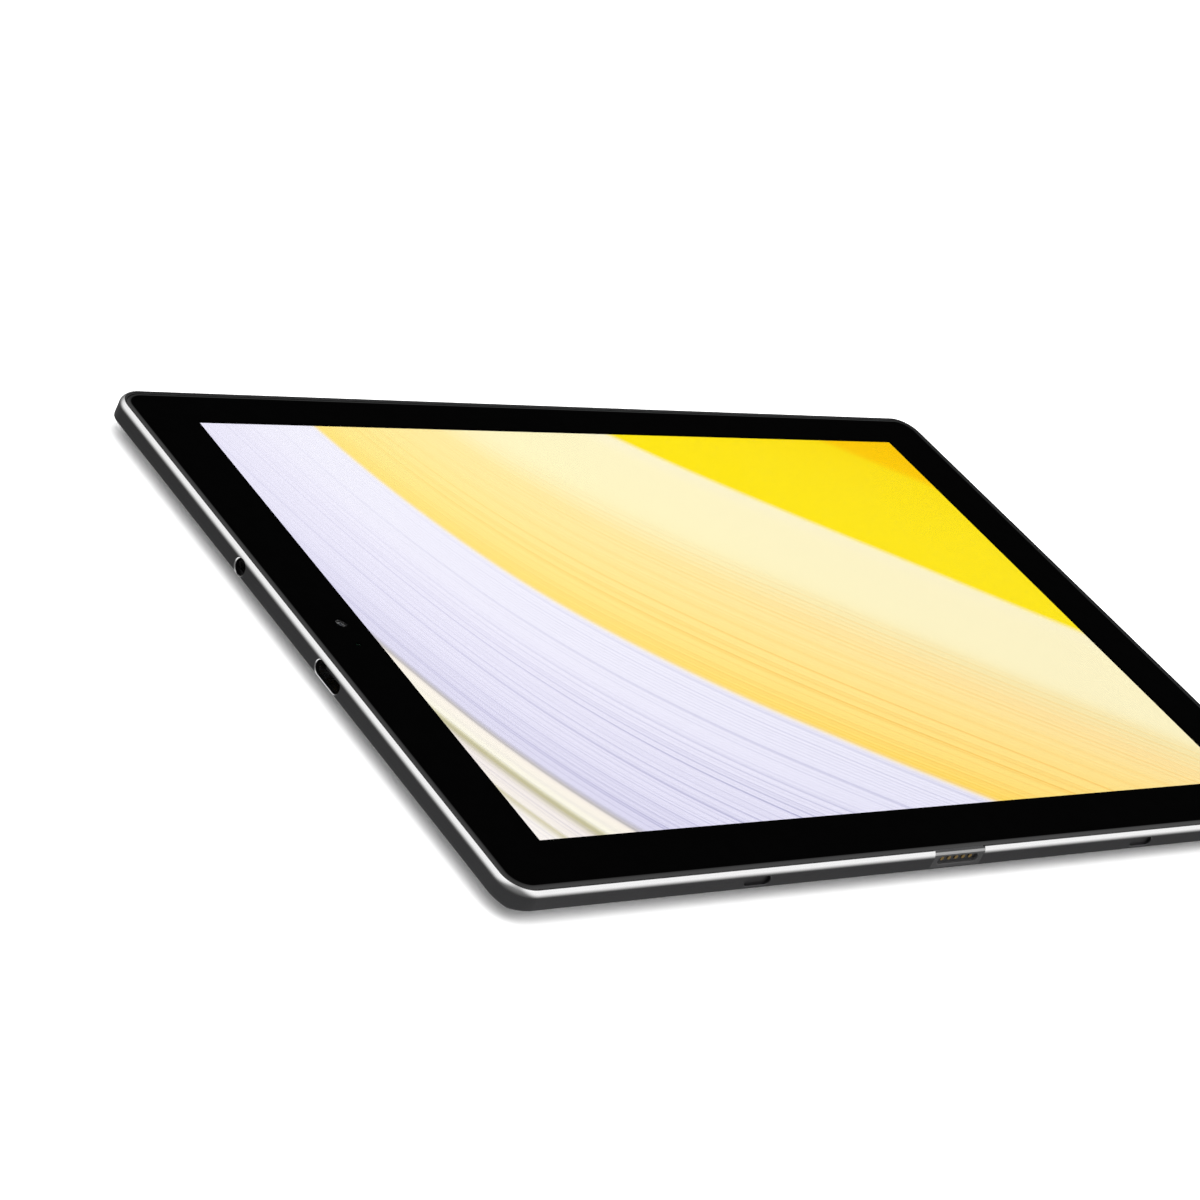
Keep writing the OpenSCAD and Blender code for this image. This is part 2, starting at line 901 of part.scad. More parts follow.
module key_bracket() {
    color("gray")
        difference() {
            span([-116, -71.4], [76.8, flex_y - 0.02], [4.46, 6.5]);
            for (x = [-113.5, -96])
                translate([x, 76.5, button_z]) rotate([-90, 0, 0]) cylinder(r = 0.5, h = 1);
        }
}

// Card tray: the face closes the slot in the side, a pin through the hole pushes it out
module card_tray() {
    color("#3c3c40")
        difference() {
            union() {
                on_upper(tray_x, tray_face_z, 0.02)
                    linear_extrude(tray_face[2])
                        stadium(tray_face[0], tray_face[1]);
                on_upper(tray_x, card_z, 0.5)
                    linear_extrude(tray_body[1])
                        square([tray_body[0], card_t], center = true);
            }
            span([tray_x - 4.9, tray_x + 4.9], [62.6, 77.2], [card_z - 0.1, card_z + 1]);
            span([tray_x - 4, tray_x + 4], [63.6, 76.2], [card_z - 1, card_z + 1]);
            on_upper(tray_x + 5.3, tray_face_z + 0.3, -cut)
                cylinder(r = pin_hole_r, h = tray_face[2] + 2 * cut);
        }
}

// Metal reader that guides the tray
module card_reader() {
    wall = 0.3;
    channel_w = tray_body[0] + 2 * card_gap;
    channel_t = card_t + 2 * card_gap;
    color("silver")
        difference() {
            span([tray_x - channel_w / 2 - wall, tray_x + channel_w / 2 + wall], [60, 73], [3.4, 5.05]);
            on_upper(tray_x, card_z, half_h - 74)
                linear_extrude(74 - 60.5)
                    square([channel_w, channel_t], center = true);
        }
}

// Plastic pad that fills the notch in the lower side, with a recess for the keyboard's plug
module dock_pad() {
    color("#242427")
        difference() {
            intersection() {
                dock_region(0);
                linear_extrude(body_t - 0.25)
                    body_outline(0);
            }
            swept_round() lip_cut();
            translate([0, 0, border_z - 0.02])
                linear_extrude(glass_t + border_t + cut)
                    body_outline(glass_inset - 0.03);
            on_lower(dock_x, dock_recess_z, -cut)
                linear_extrude(dock_recess[2] + cut)
                    stadium(dock_recess[0], dock_recess[1]);
            for (i = [0 : dock_pins - 1])
                on_lower(dock_x + (i - (dock_pins - 1) / 2) * dock_pitch, dock_recess_z)
                    cylinder(r = dock_pin_r, h = 4);
        }
}

module dock_contacts() {
    color("gold")
        for (i = [0 : dock_pins - 1])
            on_lower(dock_x + (i - (dock_pins - 1) / 2) * dock_pitch, dock_recess_z, 0.6)
                cylinder(r = dock_pin_r, h = dock_depth - 0.5);
}

module dock_flex() {
    color("#c07a2c")
        span([dock_x - 6, dock_x + 6], [-half_h + dock_depth + 0.12, -half_h + dock_depth + 0.24], [4.3, 7]);
}

module antenna_carriers() {
    color("#d8d4c8")
        for (x = carrier_places)
            span([x - 18, x + 18], [73.4, 78], [3.95, 4.6]);
}

module antenna_films() {
    color("#b87333")
        for (x = carrier_places) {
            span([x - 17, x + 15], [76.4, 77.6], [4.6, 4.66]);
            span([x - 17, x - 15], [74, 76.4], [4.6, 4.66]);
            span([x - 9, x - 7], [74, 76.4], [4.6, 4.66]);
        }
}

// Thin radio cables under the frame's plate, from the main board to the two antennas
module antenna_cables() {
    cable_r = 0.4;
    bend_r = 3;
    z = ribbon_z - cable_r + 0.02;
    lanes = [62, 65];
    starts = [-99.5, -103];
    color("black")
        for (i = [0, 1]) {
            end_x = carrier_places[i] - 8;
            translate([starts[i], board_y1 - 3, z])
                rotate([-90, 0, 0])
                    cylinder(r = cable_r, h = lanes[i] - bend_r - board_y1 + 3);
            translate([starts[i] + bend_r, lanes[i] - bend_r, z])
                rotate([0, 0, 90])
                    rotate_extrude(angle = 90)
                        translate([bend_r, 0]) circle(cable_r);
            translate([starts[i] + bend_r, lanes[i], z])
                rotate([0, 90, 0])
                    cylinder(r = cable_r, h = end_x - starts[i] - 2 * bend_r);
            translate([end_x - bend_r, lanes[i] + bend_r, z])
                rotate([0, 0, -90])
                    rotate_extrude(angle = 90)
                        translate([bend_r, 0]) circle(cable_r);
            translate([end_x, lanes[i] + bend_r, z])
                rotate([-90, 0, 0])
                    cylinder(r = cable_r, h = 73.3 - lanes[i] - bend_r);
        }
}

// Magnets that hold a keyboard or a cover against the lower side
module magnets() {
    color("silver")
        for (x = magnet_places)
            span([x - 6, x + 6], [-77.4, -74.4], [plate_z + plate_t + 0.02, 6.55]);
}

module screws() {
    color("#6b6b70")
        for (p = screw_places)
            translate([p[0], p[1], 0]) {
                translate([0, 0, plate_z + plate_t - 2.6])
                    cylinder(r = screw_r - 0.02, h = 2.6 - screw_head_t);
                translate([0, 0, plate_z + plate_t - screw_head_t])
                    difference() {
                        cylinder(r = screw_head_r, h = screw_head_t);
                        translate([0, 0, 0.12]) {
                            cube([1.4, 0.35, 0.4], center = true);
                            cube([0.35, 1.4, 0.4], center = true);
                        }
                    }
            }
}

rear_shell();
antenna_cap();
mid_frame();
cover_glass();
printed_border();
optical_adhesive();
lcd_panel();
prism_films();
light_guide();
reflector();
led_bar();
display_tray();
display_flex();
battery_cell_left();
battery_cell_right();
battery_tape();
battery_board();
battery_flex();
main_board();
processor();
memory_chips();
power_chip();
shield_can_upper();
shield_can_lower();
thermal_pad();
usb_shell();
usb_tongue();
usb_contacts();
jack_housing();
jack_sleeve();
jack_springs();
front_camera();
front_lens();
light_sensor();
rear_camera_ring();
rear_camera_window();
rear_camera_module();
rear_camera_lens();
microphone();
speaker_upper();
speaker_lower();
speaker_mesh();
power_button();
volume_rocker();
key_flex();
key_bracket();
card_tray();
card_reader();
dock_pad();
dock_contacts();
dock_flex();
antenna_carriers();
antenna_films();
antenna_cables();
magnets();
screws();
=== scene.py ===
"""Looks of a 10.1 inch tablet computer that lies on its back with its screen lit.

The outer pieces are built here as fine meshes round the CAD frame: the metal shell with its bright cut
edge, the antenna strip, the glass, the dock, the keys, the card tray and the rear camera. The pieces
inside keep their CAD shapes and get their finishes here. All lengths are in metres.
"""

import json
import math

import bmesh
import bpy
from mathutils import Matrix, Vector


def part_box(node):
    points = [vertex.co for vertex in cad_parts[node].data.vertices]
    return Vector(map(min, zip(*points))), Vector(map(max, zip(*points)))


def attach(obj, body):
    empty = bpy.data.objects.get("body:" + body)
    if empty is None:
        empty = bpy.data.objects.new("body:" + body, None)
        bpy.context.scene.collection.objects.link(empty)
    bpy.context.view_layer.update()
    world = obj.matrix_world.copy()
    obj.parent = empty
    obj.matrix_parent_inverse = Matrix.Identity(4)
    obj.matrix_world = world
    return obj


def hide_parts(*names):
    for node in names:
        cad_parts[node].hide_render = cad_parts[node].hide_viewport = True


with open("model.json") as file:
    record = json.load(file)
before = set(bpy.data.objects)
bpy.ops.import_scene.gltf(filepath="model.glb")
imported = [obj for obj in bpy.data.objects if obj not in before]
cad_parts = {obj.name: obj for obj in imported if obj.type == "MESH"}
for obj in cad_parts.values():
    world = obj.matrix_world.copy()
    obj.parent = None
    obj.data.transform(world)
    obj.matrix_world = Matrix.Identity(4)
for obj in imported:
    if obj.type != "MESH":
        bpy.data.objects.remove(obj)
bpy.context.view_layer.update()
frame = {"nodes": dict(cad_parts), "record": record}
scene = bpy.context.scene
MM = 0.001

# ---- camera ----
CAMERA_PLACE = Vector((-511.75, -395.29, 325.5)) * MM
CAMERA_HEADING = math.radians(40.36)  # from +X towards +Y
CAMERA_TILT = math.radians(27.15)  # below the horizon
CAMERA_ROLL = math.radians(27.17)
CAMERA_LENS = 97.08  # millimetres, on a 36 mm sensor


def make_camera():
    ahead = Vector(
        (
            math.cos(CAMERA_TILT) * math.cos(CAMERA_HEADING),
            math.cos(CAMERA_TILT) * math.sin(CAMERA_HEADING),
            -math.sin(CAMERA_TILT),
        )
    )
    level = ahead.cross(Vector((0, 0, 1))).normalized()
    above = level.cross(ahead)
    right = level * math.cos(CAMERA_ROLL) + above * math.sin(CAMERA_ROLL)
    up = above * math.cos(CAMERA_ROLL) - level * math.sin(CAMERA_ROLL)
    camera = bpy.data.objects.new("camera", bpy.data.cameras.new("camera"))
    camera.data.lens = CAMERA_LENS
    camera.data.sensor_width = 36
    camera.data.clip_start = 0.01
    camera.data.clip_end = 100
    turn = Matrix((right, up, -ahead)).transposed().to_4x4()
    camera.matrix_world = Matrix.Translation(CAMERA_PLACE) @ turn
    scene.collection.objects.link(camera)
    scene.camera = camera


make_camera()

# ---- sizes, read off the frame ----
_, shell_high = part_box("rear_shell")
HALF_W, HALF_H, TOP = shell_high.x, shell_high.y, shell_high.z
CORNER_R = 6.5 * MM
MARGIN = 30 * MM  # width of the curved margin of the back
WALL_Z = 3.5 * MM  # where the side wall starts, above the flat back
CROWN_R = (MARGIN**2 + WALL_Z**2) / (2 * WALL_Z)
CROWN_SLOPE = math.asin(MARGIN / CROWN_R)
BACK_SKIN = 0.8 * MM
SIDE_SKIN = 1 * MM
LIP = 0.75 * MM  # the bright cut edge takes this off the body's upper edge
SEAM = 0.05 * MM
CORNER_STEPS = 16
CUT = 0.4 * MM  # how far a cutting form reaches past what it cuts


def middle(node):
    low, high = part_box(node)
    return (low + high) / 2


def size_of(node):
    low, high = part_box(node)
    return high - low


# ---- mesh helpers ----
SLOTS = 3  # every built mesh starts with this many empty slots, so that a cut keeps its faces' slots


def new_object(name, mesh):
    while len(mesh.materials) < SLOTS:
        mesh.materials.append(None)
    piece = bpy.data.objects.new(name, mesh)
    scene.collection.objects.link(piece)
    return piece


def object_of(name, bm):
    mesh = bpy.data.meshes.new(name)
    bm.to_mesh(mesh)
    bm.free()
    return new_object(name, mesh)


def bands(bm, rings, slots, closed=False):
    """Faces between rings of equally many points; closed joins the last ring to the first.
    slots gives the material slot of the band that follows a ring, where it isn't 0."""
    rows = [[bm.verts.new(point) for point in ring] for ring in rings]
    for i, row in enumerate(rows if closed else rows[:-1]):
        after = rows[(i + 1) % len(rows)]
        for k in range(len(row)):
            face = bm.faces.new((row[k - 1], row[k], after[k], after[k - 1]))
            face.material_index = (slots or {}).get(i, 0)
    return rows


def loft(name, rings, slots=None):
    """A closed form through rings, capped at both ends."""
    bm = bmesh.new()
    rows = bands(bm, rings, slots)
    bm.faces.new(rows[0])
    bm.faces.new(rows[-1])
    bmesh.ops.remove_doubles(bm, verts=bm.verts, dist=1e-7)
    bmesh.ops.dissolve_degenerate(bm, edges=bm.edges, dist=1e-8)
    bmesh.ops.recalc_face_normals(bm, faces=bm.faces)
    return object_of(name, bm)


def lathe(name, profile, centre, steps=96, slots=None):
    """A closed turned form: profile holds (radius, height) from the axis and back to it."""
    turn = [2 * math.pi * k / steps for k in range(steps)]
    rings = [
        [(centre.x + r * math.cos(a), centre.y + r * math.sin(a), z) for a in turn]
        for r, z in profile
    ]
    if profile[0] != profile[-1]:
        return loft(name, rings, slots)
    bm = bmesh.new()
    bands(bm, rings[:-1], slots, closed=True)
    bmesh.ops.recalc_face_normals(bm, faces=bm.faces)
    return object_of(name, bm)


def prism(name, points, z0, z1):
    return loft(name, [[(x, y, z) for x, y in points] for z in (z0, z1)])


def block(name, low, high):
    corners = [(low[0], low[1]), (high[0], low[1]), (high[0], high[1]), (low[0], high[1])]
    return prism(name, corners, low[2], high[2])


def joined(name, pieces):
    """Several forms in one object. They may not touch."""
    bm = bmesh.new()
    for piece in pieces:
        bm.from_mesh(piece.data)
        bpy.data.objects.remove(piece)
    return object_of(name, bm)


def boolean(piece, other, operation="DIFFERENCE"):
    """Cuts other away from piece, or joins it on, and takes other out of the scene."""
    step = piece.modifiers.new("step", "BOOLEAN")
    step.operation = operation
    step.solver = "EXACT"
    step.object = other
    step.material_mode = "INDEX"
    bpy.context.view_layer.update()
    graph = bpy.context.evaluated_depsgraph_get()
    mesh = bpy.data.meshes.new_from_object(piece.evaluated_get(graph))
    piece.modifiers.clear()
    piece.data = mesh
    mesh.name = piece.name
    bpy.data.objects.remove(other)
    return piece


def finish_shading(piece, angle=28, crease=None):
    """Smooth faces, with edges kept sharp past the angle and wherever crease says so."""
    bm = bmesh.new()
    bm.from_mesh(piece.data)
    bmesh.ops.dissolve_degenerate(bm, edges=bm.edges, dist=1e-8)
    for face in bm.faces:
        face.smooth = True
    for edge in bm.edges:
        sharp = edge.is_manifold and edge.calc_face_angle(0) > math.radians(angle)
        edge.smooth = not (sharp or (crease is not None and crease(edge)))
    bm.to_mesh(piece.data)
    bm.free()
    weighted = piece.modifiers.new("even_normals", "WEIGHTED_NORMAL")
    weighted.keep_sharp = True
    weighted.weight = 100


# ---- the body's own form ----
def outline(inset):
    """The body's outline seen from the front, moved in by inset. Past its radius a corner is a point."""
    r = max(CORNER_R - inset, 0)
    points = []
    for i, (sx, sy) in enumerate(((1, 1), (-1, 1), (-1, -1), (1, -1))):
        cx, cy = sx * (HALF_W - inset - r), sy * (HALF_H - inset - r)
        for k in range(CORNER_STEPS + 1):
            a = math.pi / 2 * (i + k / CORNER_STEPS)
            points.append((cx + r * math.cos(a), cy + r * math.sin(a)))
    return points


def back_z(x, y, skin=0):
    """Height of the crowned back: flat in the middle, with an arc out to each side."""
    run = max(abs(x) - (HALF_W - MARGIN), abs(y) - (HALF_H - MARGIN), 0)
    return CROWN_R - math.sqrt((CROWN_R - skin) ** 2 - run**2)


EDGE_R = 0.4 * MM  # rounding where the back turns up into the side wall
LIP_FOOT_R = 1.8 * MM  # soft turn from the side wall into the bright edge
LIP_CREST_R = 0.07 * MM
LIP_SLANT = math.radians(45)


def outer_rings(edge_start):
    """Rings over the back, round its edge, up the side wall and over the bright edge; and their slots.
    The edge's own slot starts at the ring edge_start of the soft turn."""
    rings, slots = [], {}
    inset = MARGIN
    while inset > 1.2 * MM:
        rings.append([(x, y, back_z(x, y)) for x, y in outline(inset)])
        inset -= 2 * MM if inset > 4 * MM else 1 * MM
    foot = [back_z(x, y) for x, y in outline(0)]
    steps = 6
    for k in range(steps + 1):
        a = CROWN_SLOPE + (math.pi / 2 - CROWN_SLOPE) * k / steps
        lift = -EDGE_R * math.tan(CROWN_SLOPE) + EDGE_R / math.cos(CROWN_SLOPE)
        drop = EDGE_R * math.cos(a)
        ring = outline(EDGE_R * (1 - math.sin(a)))
        rings.append([(x, y, z + lift - drop) for (x, y), z in zip(ring, foot)])
    tangent = math.tan(LIP_SLANT / 2)
    steps = 9
    for k in range(steps + 1):
        a = LIP_SLANT * k / steps
        z = TOP - LIP - LIP_FOOT_R * tangent + LIP_FOOT_R * math.sin(a)
        if k > edge_start:
            slots[len(rings) - 1] = 1
        rings.append([(x, y, z) for x, y in outline(LIP_FOOT_R * (1 - math.cos(a)))])
    steps = 3
    for k in range(steps + 1):
        a = LIP_SLANT + (math.pi / 2 - LIP_SLANT) * k / steps
        d = LIP + LIP_CREST_R * (tangent - math.cos(a))
        z = TOP - LIP_CREST_R * (1 - math.sin(a))
        slots[len(rings) - 1] = 1
        rings.append([(x, y, z) for x, y in outline(d)])
    slots[len(rings) - 1] = 1
    rings.append([(x, y, TOP) for x, y in outline(SIDE_SKIN - 0.04 * MM)])
    return rings, slots


def inner_rings():
    rings = [[(x, y, TOP - 0.04 * MM) for x, y in outline(SIDE_SKIN)]]
    inset = SIDE_SKIN
    while inset < MARGIN:
        rings.append([(x, y, back_z(x, y, BACK_SKIN)) for x, y in outline(inset)])
        inset += 4 * MM
    rings.append([(x, y, BACK_SKIN) for x, y in outline(MARGIN)])
    return rings


def hollow_body(name):
    rings, slots = outer_rings(0)
    return loft(name, rings + inner_rings(), slots)


def solid_body(name):
    rings, slots = outer_rings(5)
    return loft(name, rings, slots)


def on_mitre(edge):
    """True for the back's four creases, where the margins of two sides meet."""
    for vert in edge.verts:
        x, y, z = vert.co
        dx, dy = HALF_W - abs(x), HALF_H - abs(y)
        if abs(dx - dy) > 0.02 * MM or dx > MARGIN + 0.1 * MM or z > WALL_Z:
            return False
    return abs(edge.verts[0].co.x - edge.verts[1].co.x) > 0.1 * MM


# Each side: where it stands, the way along it, and the way in from it
SIDES = {
    "left": (Vector((-HALF_W, 0, 0)), Vector((0, 1, 0)), Vector((1, 0, 0))),
    "right": (Vector((HALF_W, 0, 0)), Vector((0, 1, 0)), Vector((-1, 0, 0))),
    "upper": (Vector((0, HALF_H, 0)), Vector((1, 0, 0)), Vector((0, -1, 0))),
    "lower": (Vector((0, -HALF_H, 0)), Vector((1, 0, 0)), Vector((0, 1, 0))),
}


def slot_ring(side, along, z, length, height, grow, depth, steps=14):
    """A ring with round ends on a side wall, grown outwards and set in by depth."""
    place, way, inwards = SIDES[side]
    r = height / 2 + grow
    reach = (length - height) / 2
    ring = []
    for end in (1, -1):
        for k in range(steps + 1):
            a = -math.pi / 2 + math.pi * k / steps
            u = end * (reach + r * math.cos(a))
            v = end * r * math.sin(a)
            ring.append(place + way * (along + u) + Vector((0, 0, z + v)) + inwards * depth)
    return ring


def hole(side, along, z, length, height, depth, rounding, bright=False):
    """A cutting form for a hole with a rounded mouth."""
    path = [(rounding * 1.2, -0.12 * MM)]
    steps = 5
    for k in range(1, steps + 1):
        a = math.pi / 2 * k / steps
        path.append((rounding * (1 - math.sin(a)), rounding * (1 - math.cos(a))))
    path.append((0, depth))
    rings = [slot_ring(side, along, z, length, height, g, d) for g, d in path]
    slots = {k: 2 for k in range(steps)} if bright else None
    return loft("cutter", rings, slots)


def rounded_bar(side, along, z, length, height, start, end, rounding, crown=0.0):
    """A bar with round ends that stands in a side wall, rounded on its outer face."""
    steps = 5
    rings = []
    if crown:
        rings.append(slot_ring(side, along, z, length, height, -height * 0.42, start))
        start += crown
    for k in range(steps + 1):
        a = math.pi / 2 * k / steps
        grow = -rounding * (1 - math.sin(a))
        rings.append(slot_ring(side, along, z, length, height, grow, start + rounding * (1 - math.cos(a))))
    rings.append(slot_ring(side, along, z, length, height, 0, end))
    return loft("bar", rings)


# ---- node materials ----
def linear(code):
    """A display colour such as FFE619 as linear light."""
    out = []
    for i in (0, 2, 4):
        c = int(code[i : i + 2], 16) / 255
        out.append(c / 12.92 if c <= 0.04045 else ((c + 0.055) / 1.055) ** 2.4)
    return (*out, 1)


def grey(value, tint=(1, 1, 1)):
    return (value * tint[0], value * tint[1], value * tint[2], 1)


class Graph:
    """A node tree, with short calls for the nodes in it."""

    def __init__(self, tree):
        self.tree = tree

    def link(self, source, target):
        self.tree.links.new(source, target)

    def add(self, kind, **settings):
        node = self.tree.nodes.new(kind)
        for key, value in settings.items():
            setattr(node, key, value)
        return node

    def fill(self, node, *values):
        for socket, value in zip(node.inputs, values):
            if isinstance(value, bpy.types.NodeSocket):
                self.link(value, socket)
            elif value is not None:
                socket.default_value = value

    def math(self, operation, *values):
        node = self.add("ShaderNodeMath", operation=operation)
        self.fill(node, *values)
        return node.outputs[0]

    def vector(self, operation, *values):
        node = self.add("ShaderNodeVectorMath", operation=operation)
        self.fill(node, *values)
        return node.outputs[0]

    def xyz(self, source=None):
        node = self.add("ShaderNodeSeparateXYZ")
        self.link(source or self.place, node.inputs[0])
        return node.outputs

    def stretched(self, x, y, z):
        return self.vector("MULTIPLY", self.place, (x, y, z))

    def noise(self, scale, detail=3.0, rough=0.55, source=None):
        node = self.add("ShaderNodeTexNoise")
        node.inputs["Scale"].default_value = scale
        node.inputs["Detail"].default_value = detail
        node.inputs["Roughness"].default_value = rough
        self.link(source or self.place, node.inputs["Vector"])
        return node.outputs["Fac"]

    def span(self, value, low, high, to_low=0.0, to_high=1.0, smooth=False):
        node = self.add("ShaderNodeMapRange")
        node.interpolation_type = "SMOOTHSTEP" if smooth else "LINEAR"
        self.fill(node, value, low, high, to_low, to_high)
        return node.outputs[0]

    def ramp(self, value, stops):
        node = self.add("ShaderNodeValToRGB")
        band = node.color_ramp.elements
        for position, colour in stops[1:-1]:
            band.new(position).color = colour
        band[0].position, band[0].color = stops[0]
        band[len(band) - 1].position, band[len(band) - 1].color = stops[-1]
        self.link(value, node.inputs[0])
        return node.outputs[0]

    def mix(self, factor, a, b, blend="MIX"):
        node = self.add("ShaderNodeMix", data_type="RGBA", blend_type=blend)
        for socket, value in ((0, factor), (6, a), (7, b)):
            if isinstance(value, bpy.types.NodeSocket):
                self.link(value, node.inputs[socket])
            else:
                node.inputs[socket].default_value = value
        return node.outputs[2]


class Finish(Graph):
    """A material with one Principled shader."""

    def __init__(self, name, colour, rough, metallic=0.0, coat=0.0):
        self.material = bpy.data.materials.new(name)
        self.material.use_nodes = True
        super().__init__(self.material.node_tree)
        self.shader = self.tree.nodes["Principled BSDF"]
        self.set("Base Color", colour)
        self.set("Roughness", rough)
        self.set("Metallic", metallic)
        self.set("Coat Weight", coat)
        self.set("Coat Roughness", 0.05)
        self.place = self.add("ShaderNodeTexCoord").outputs["Object"]

    def set(self, socket, value):
        self.shader.inputs[socket].default_value = value

    def drive(self, socket, source):
        self.link(source, self.shader.inputs[socket])

    def vary(self, colour, amount, scale, detail=4.0):
        """Uneven colour: lighter and darker by amount."""
        low = grey(1 - amount, colour[:3])
        high = grey(1 + amount, colour[:3])
        self.drive("Base Color", self.mix(self.noise(scale, detail), low, high))

    def rough_by(self, source, low, high):
        """Roughness from low to high over the range in which most of a noise lies."""
        self.drive("Roughness", self.span(source, 0.3, 0.7, low, high))

    def uneven_rough(self, low, high, scale, detail=4):
        self.rough_by(self.noise(scale, detail), low, high)

    def bump(self, height, strength, distance):
        node = self.add("ShaderNodeBump")
        node.inputs["Strength"].default_value = strength
        node.inputs["Distance"].default_value = distance
        self.link(height, node.inputs["Height"])
        self.drive("Normal", node.outputs[0])


def grained(name, colour, rough, grain=2500, depth=0.02, vary=0.06, metallic=0.0, coat=0.0, spread=0.06):
    """Moulded or blasted surface: fine grain, slightly uneven colour and gloss."""
    f = Finish(name, colour, rough, metallic, coat)
    f.vary(colour, vary, 60)
    f.uneven_rough(rough - spread, rough + spread, 140)
    f.bump(f.noise(grain, 2), 0.35, depth * MM)
    return f.material


def brushed(name, colour, rough, along=(20, 2400, 2400), depth=0.01):
    """Rolled or brushed sheet, with fine lines along X unless told otherwise."""
    f = Finish(name, colour, rough, 1.0)
    lines = f.noise(1, 3, source=f.stretched(*along))
    f.drive("Base Color", f.mix(lines, grey(0.85, colour), grey(1.12, colour)))
    f.rough_by(lines, rough - 0.07, rough + 0.08)
    f.bump(lines, 0.3, depth * MM)
    return f.material


def anodised():
    """Dark satin aluminium: bead-blasted grain under a clear grey oxide."""
    colour = grey(0.085, (1, 1, 1.03))
    f = Finish("anodised_metal", colour, 0.36, 1.0)
    cloud = f.noise(18, 5)
    grain = f.noise(5200, 2, 0.7)
    tone = f.math("MULTIPLY_ADD", cloud, 0.10, 0.95)
    speck = f.span(grain, 0.3, 0.7, 0.93, 1.07)
    f.drive("Base Color", f.mix(1.0, colour, f.math("MULTIPLY", tone, speck), "MULTIPLY"))
    f.uneven_rough(0.32, 0.40, 90)
    f.bump(grain, 0.22, 0.006 * MM)
    return f.material


def cut_metal(name, low, high, z_low, z_high):
    """Bare metal where a diamond tool has cut the oxide away, with faint tool lines.
    It goes from the tone low at z_low to high at z_high: painted shade and highlight, darker lower down, standing in
    for how the light fades down a rounded edge."""
    f = Finish(name, grey(high), 0.2, 1.0)
    lines = f.noise(1, 3, source=f.stretched(300, 300, 30000))
    # painted light: the tone follows height, not the metal itself
    tone = f.span(f.xyz()[2], z_low, z_high, low, high, smooth=True)
    f.drive("Base Color", f.mix(1.0, f.mix(lines, grey(0.93), grey(1.05)), tone, "MULTIPLY"))
    f.uneven_rough(0.17, 0.25, 400, 3)
    f.bump(lines, 0.12, 0.002 * MM)
    return f.material


GLASS_IOR = 1.47
INK_TONE = grey(0.0006)


def clear_cover():
    clear = grey(0.985, (0.995, 1, 1))
    f = Finish("cover_glass", clear, 0.0)
    f.set("Transmission Weight", 1.0)
    f.set("IOR", GLASS_IOR)
    f.vary(clear, 0.006, 40)
    return f.material


def rim_glass():
    """The glass's rounded rim with the black ink right behind it."""
    f = Finish("rim_glass", INK_TONE, 0.015)
    f.set("IOR", GLASS_IOR)
    f.vary(INK_TONE, 0.3, 300)
    f.uneven_rough(0.01, 0.02, 120, 2)
    return f.material


def clear_layer(name, alpha):
    f = Finish(name, grey(0.02), 0.4)
    f.set("Alpha", alpha)
    f.set("Specular IOR Level", 0.0)
    f.vary(grey(0.02), 0.1, 80)
    return f.material


def ink():
    f = Finish("black_ink", INK_TONE, 0.5)
    f.vary(INK_TONE, 0.3, 300)
    f.set("Specular IOR Level", 0.0)
    return f.material


def tinted_window():
    """Dark scratch-proof glass of the rear camera."""
    f = Finish("dark_glass", grey(0.5, (0.9, 0.93, 1)), 0.02)
    f.set("Transmission Weight", 1.0)
    f.set("IOR", 1.6)
    f.drive("Roughness", f.span(f.noise(300, 4), 0.5, 0.8, 0.01, 0.05))
    return f.material


def coated_lens():
    """Lens with an anti-glare film: bluish green in the middle, violet at its rim."""
    f = Finish("lens_glass", grey(0.02, (0.6, 0.7, 1)), 0.04, coat=1.0)
    weight = f.add("ShaderNodeLayerWeight")
    weight.inputs[0].default_value = 0.35
    green, blue, violet = (0.03, 0.05, 0.07, 1), (0.05, 0.03, 0.09, 1), (0.10, 0.07, 0.12, 1)
    f.drive("Base Color", f.ramp(weight.outputs["Facing"], [(0, green), (0.5, blue), (1, violet)]))
    f.drive("Roughness", f.span(f.noise(500, 2), 0.4, 0.7, 0.03, 0.07))
    f.set("Specular IOR Level", 0.9)
    return f.material


def sensor_eye():
    """Small front camera: a grey iris behind glass."""
    f = Finish("front_eye", grey(0.16), 0.3, coat=1.0)
    x, y, _ = f.xyz(f.vector("SUBTRACT", f.place, tuple(middle("front_lens"))))
    r = f.math("SQRT", f.math("ADD", f.math("POWER", x, 2.0), f.math("POWER", y, 2.0)))
    pupil = grey(0.015, (0.8, 0.9, 1.2))
    iris = [(0, grey(0.01)), (0.25, pupil), (0.4, grey(0.035)), (0.75, grey(0.05)), (1, grey(0.01))]
    f.drive("Base Color", f.ramp(f.span(r, 0, 1.3 * MM), iris))
    f.uneven_rough(0.2, 0.35, 900)
    return f.material


def ribbon():
    """Polyimide ribbon with copper tracks showing through."""
    f = Finish("flex", (0.5, 0.22, 0.05, 1), 0.35, coat=0.4)
    wave = f.add("ShaderNodeTexWave", wave_type="BANDS", bands_direction="DIAGONAL")
    wave.inputs["Scale"].default_value = 900
    f.link(f.place, wave.inputs["Vector"])
    track = f.span(wave.outputs["Fac"], 0.45, 0.55)
    f.drive("Base Color", f.mix(track, (0.42, 0.17, 0.03, 1), (0.62, 0.3, 0.09, 1)))
    f.bump(track, 0.3, 0.01 * MM)
    f.uneven_rough(0.28, 0.42, 200)
    return f.material


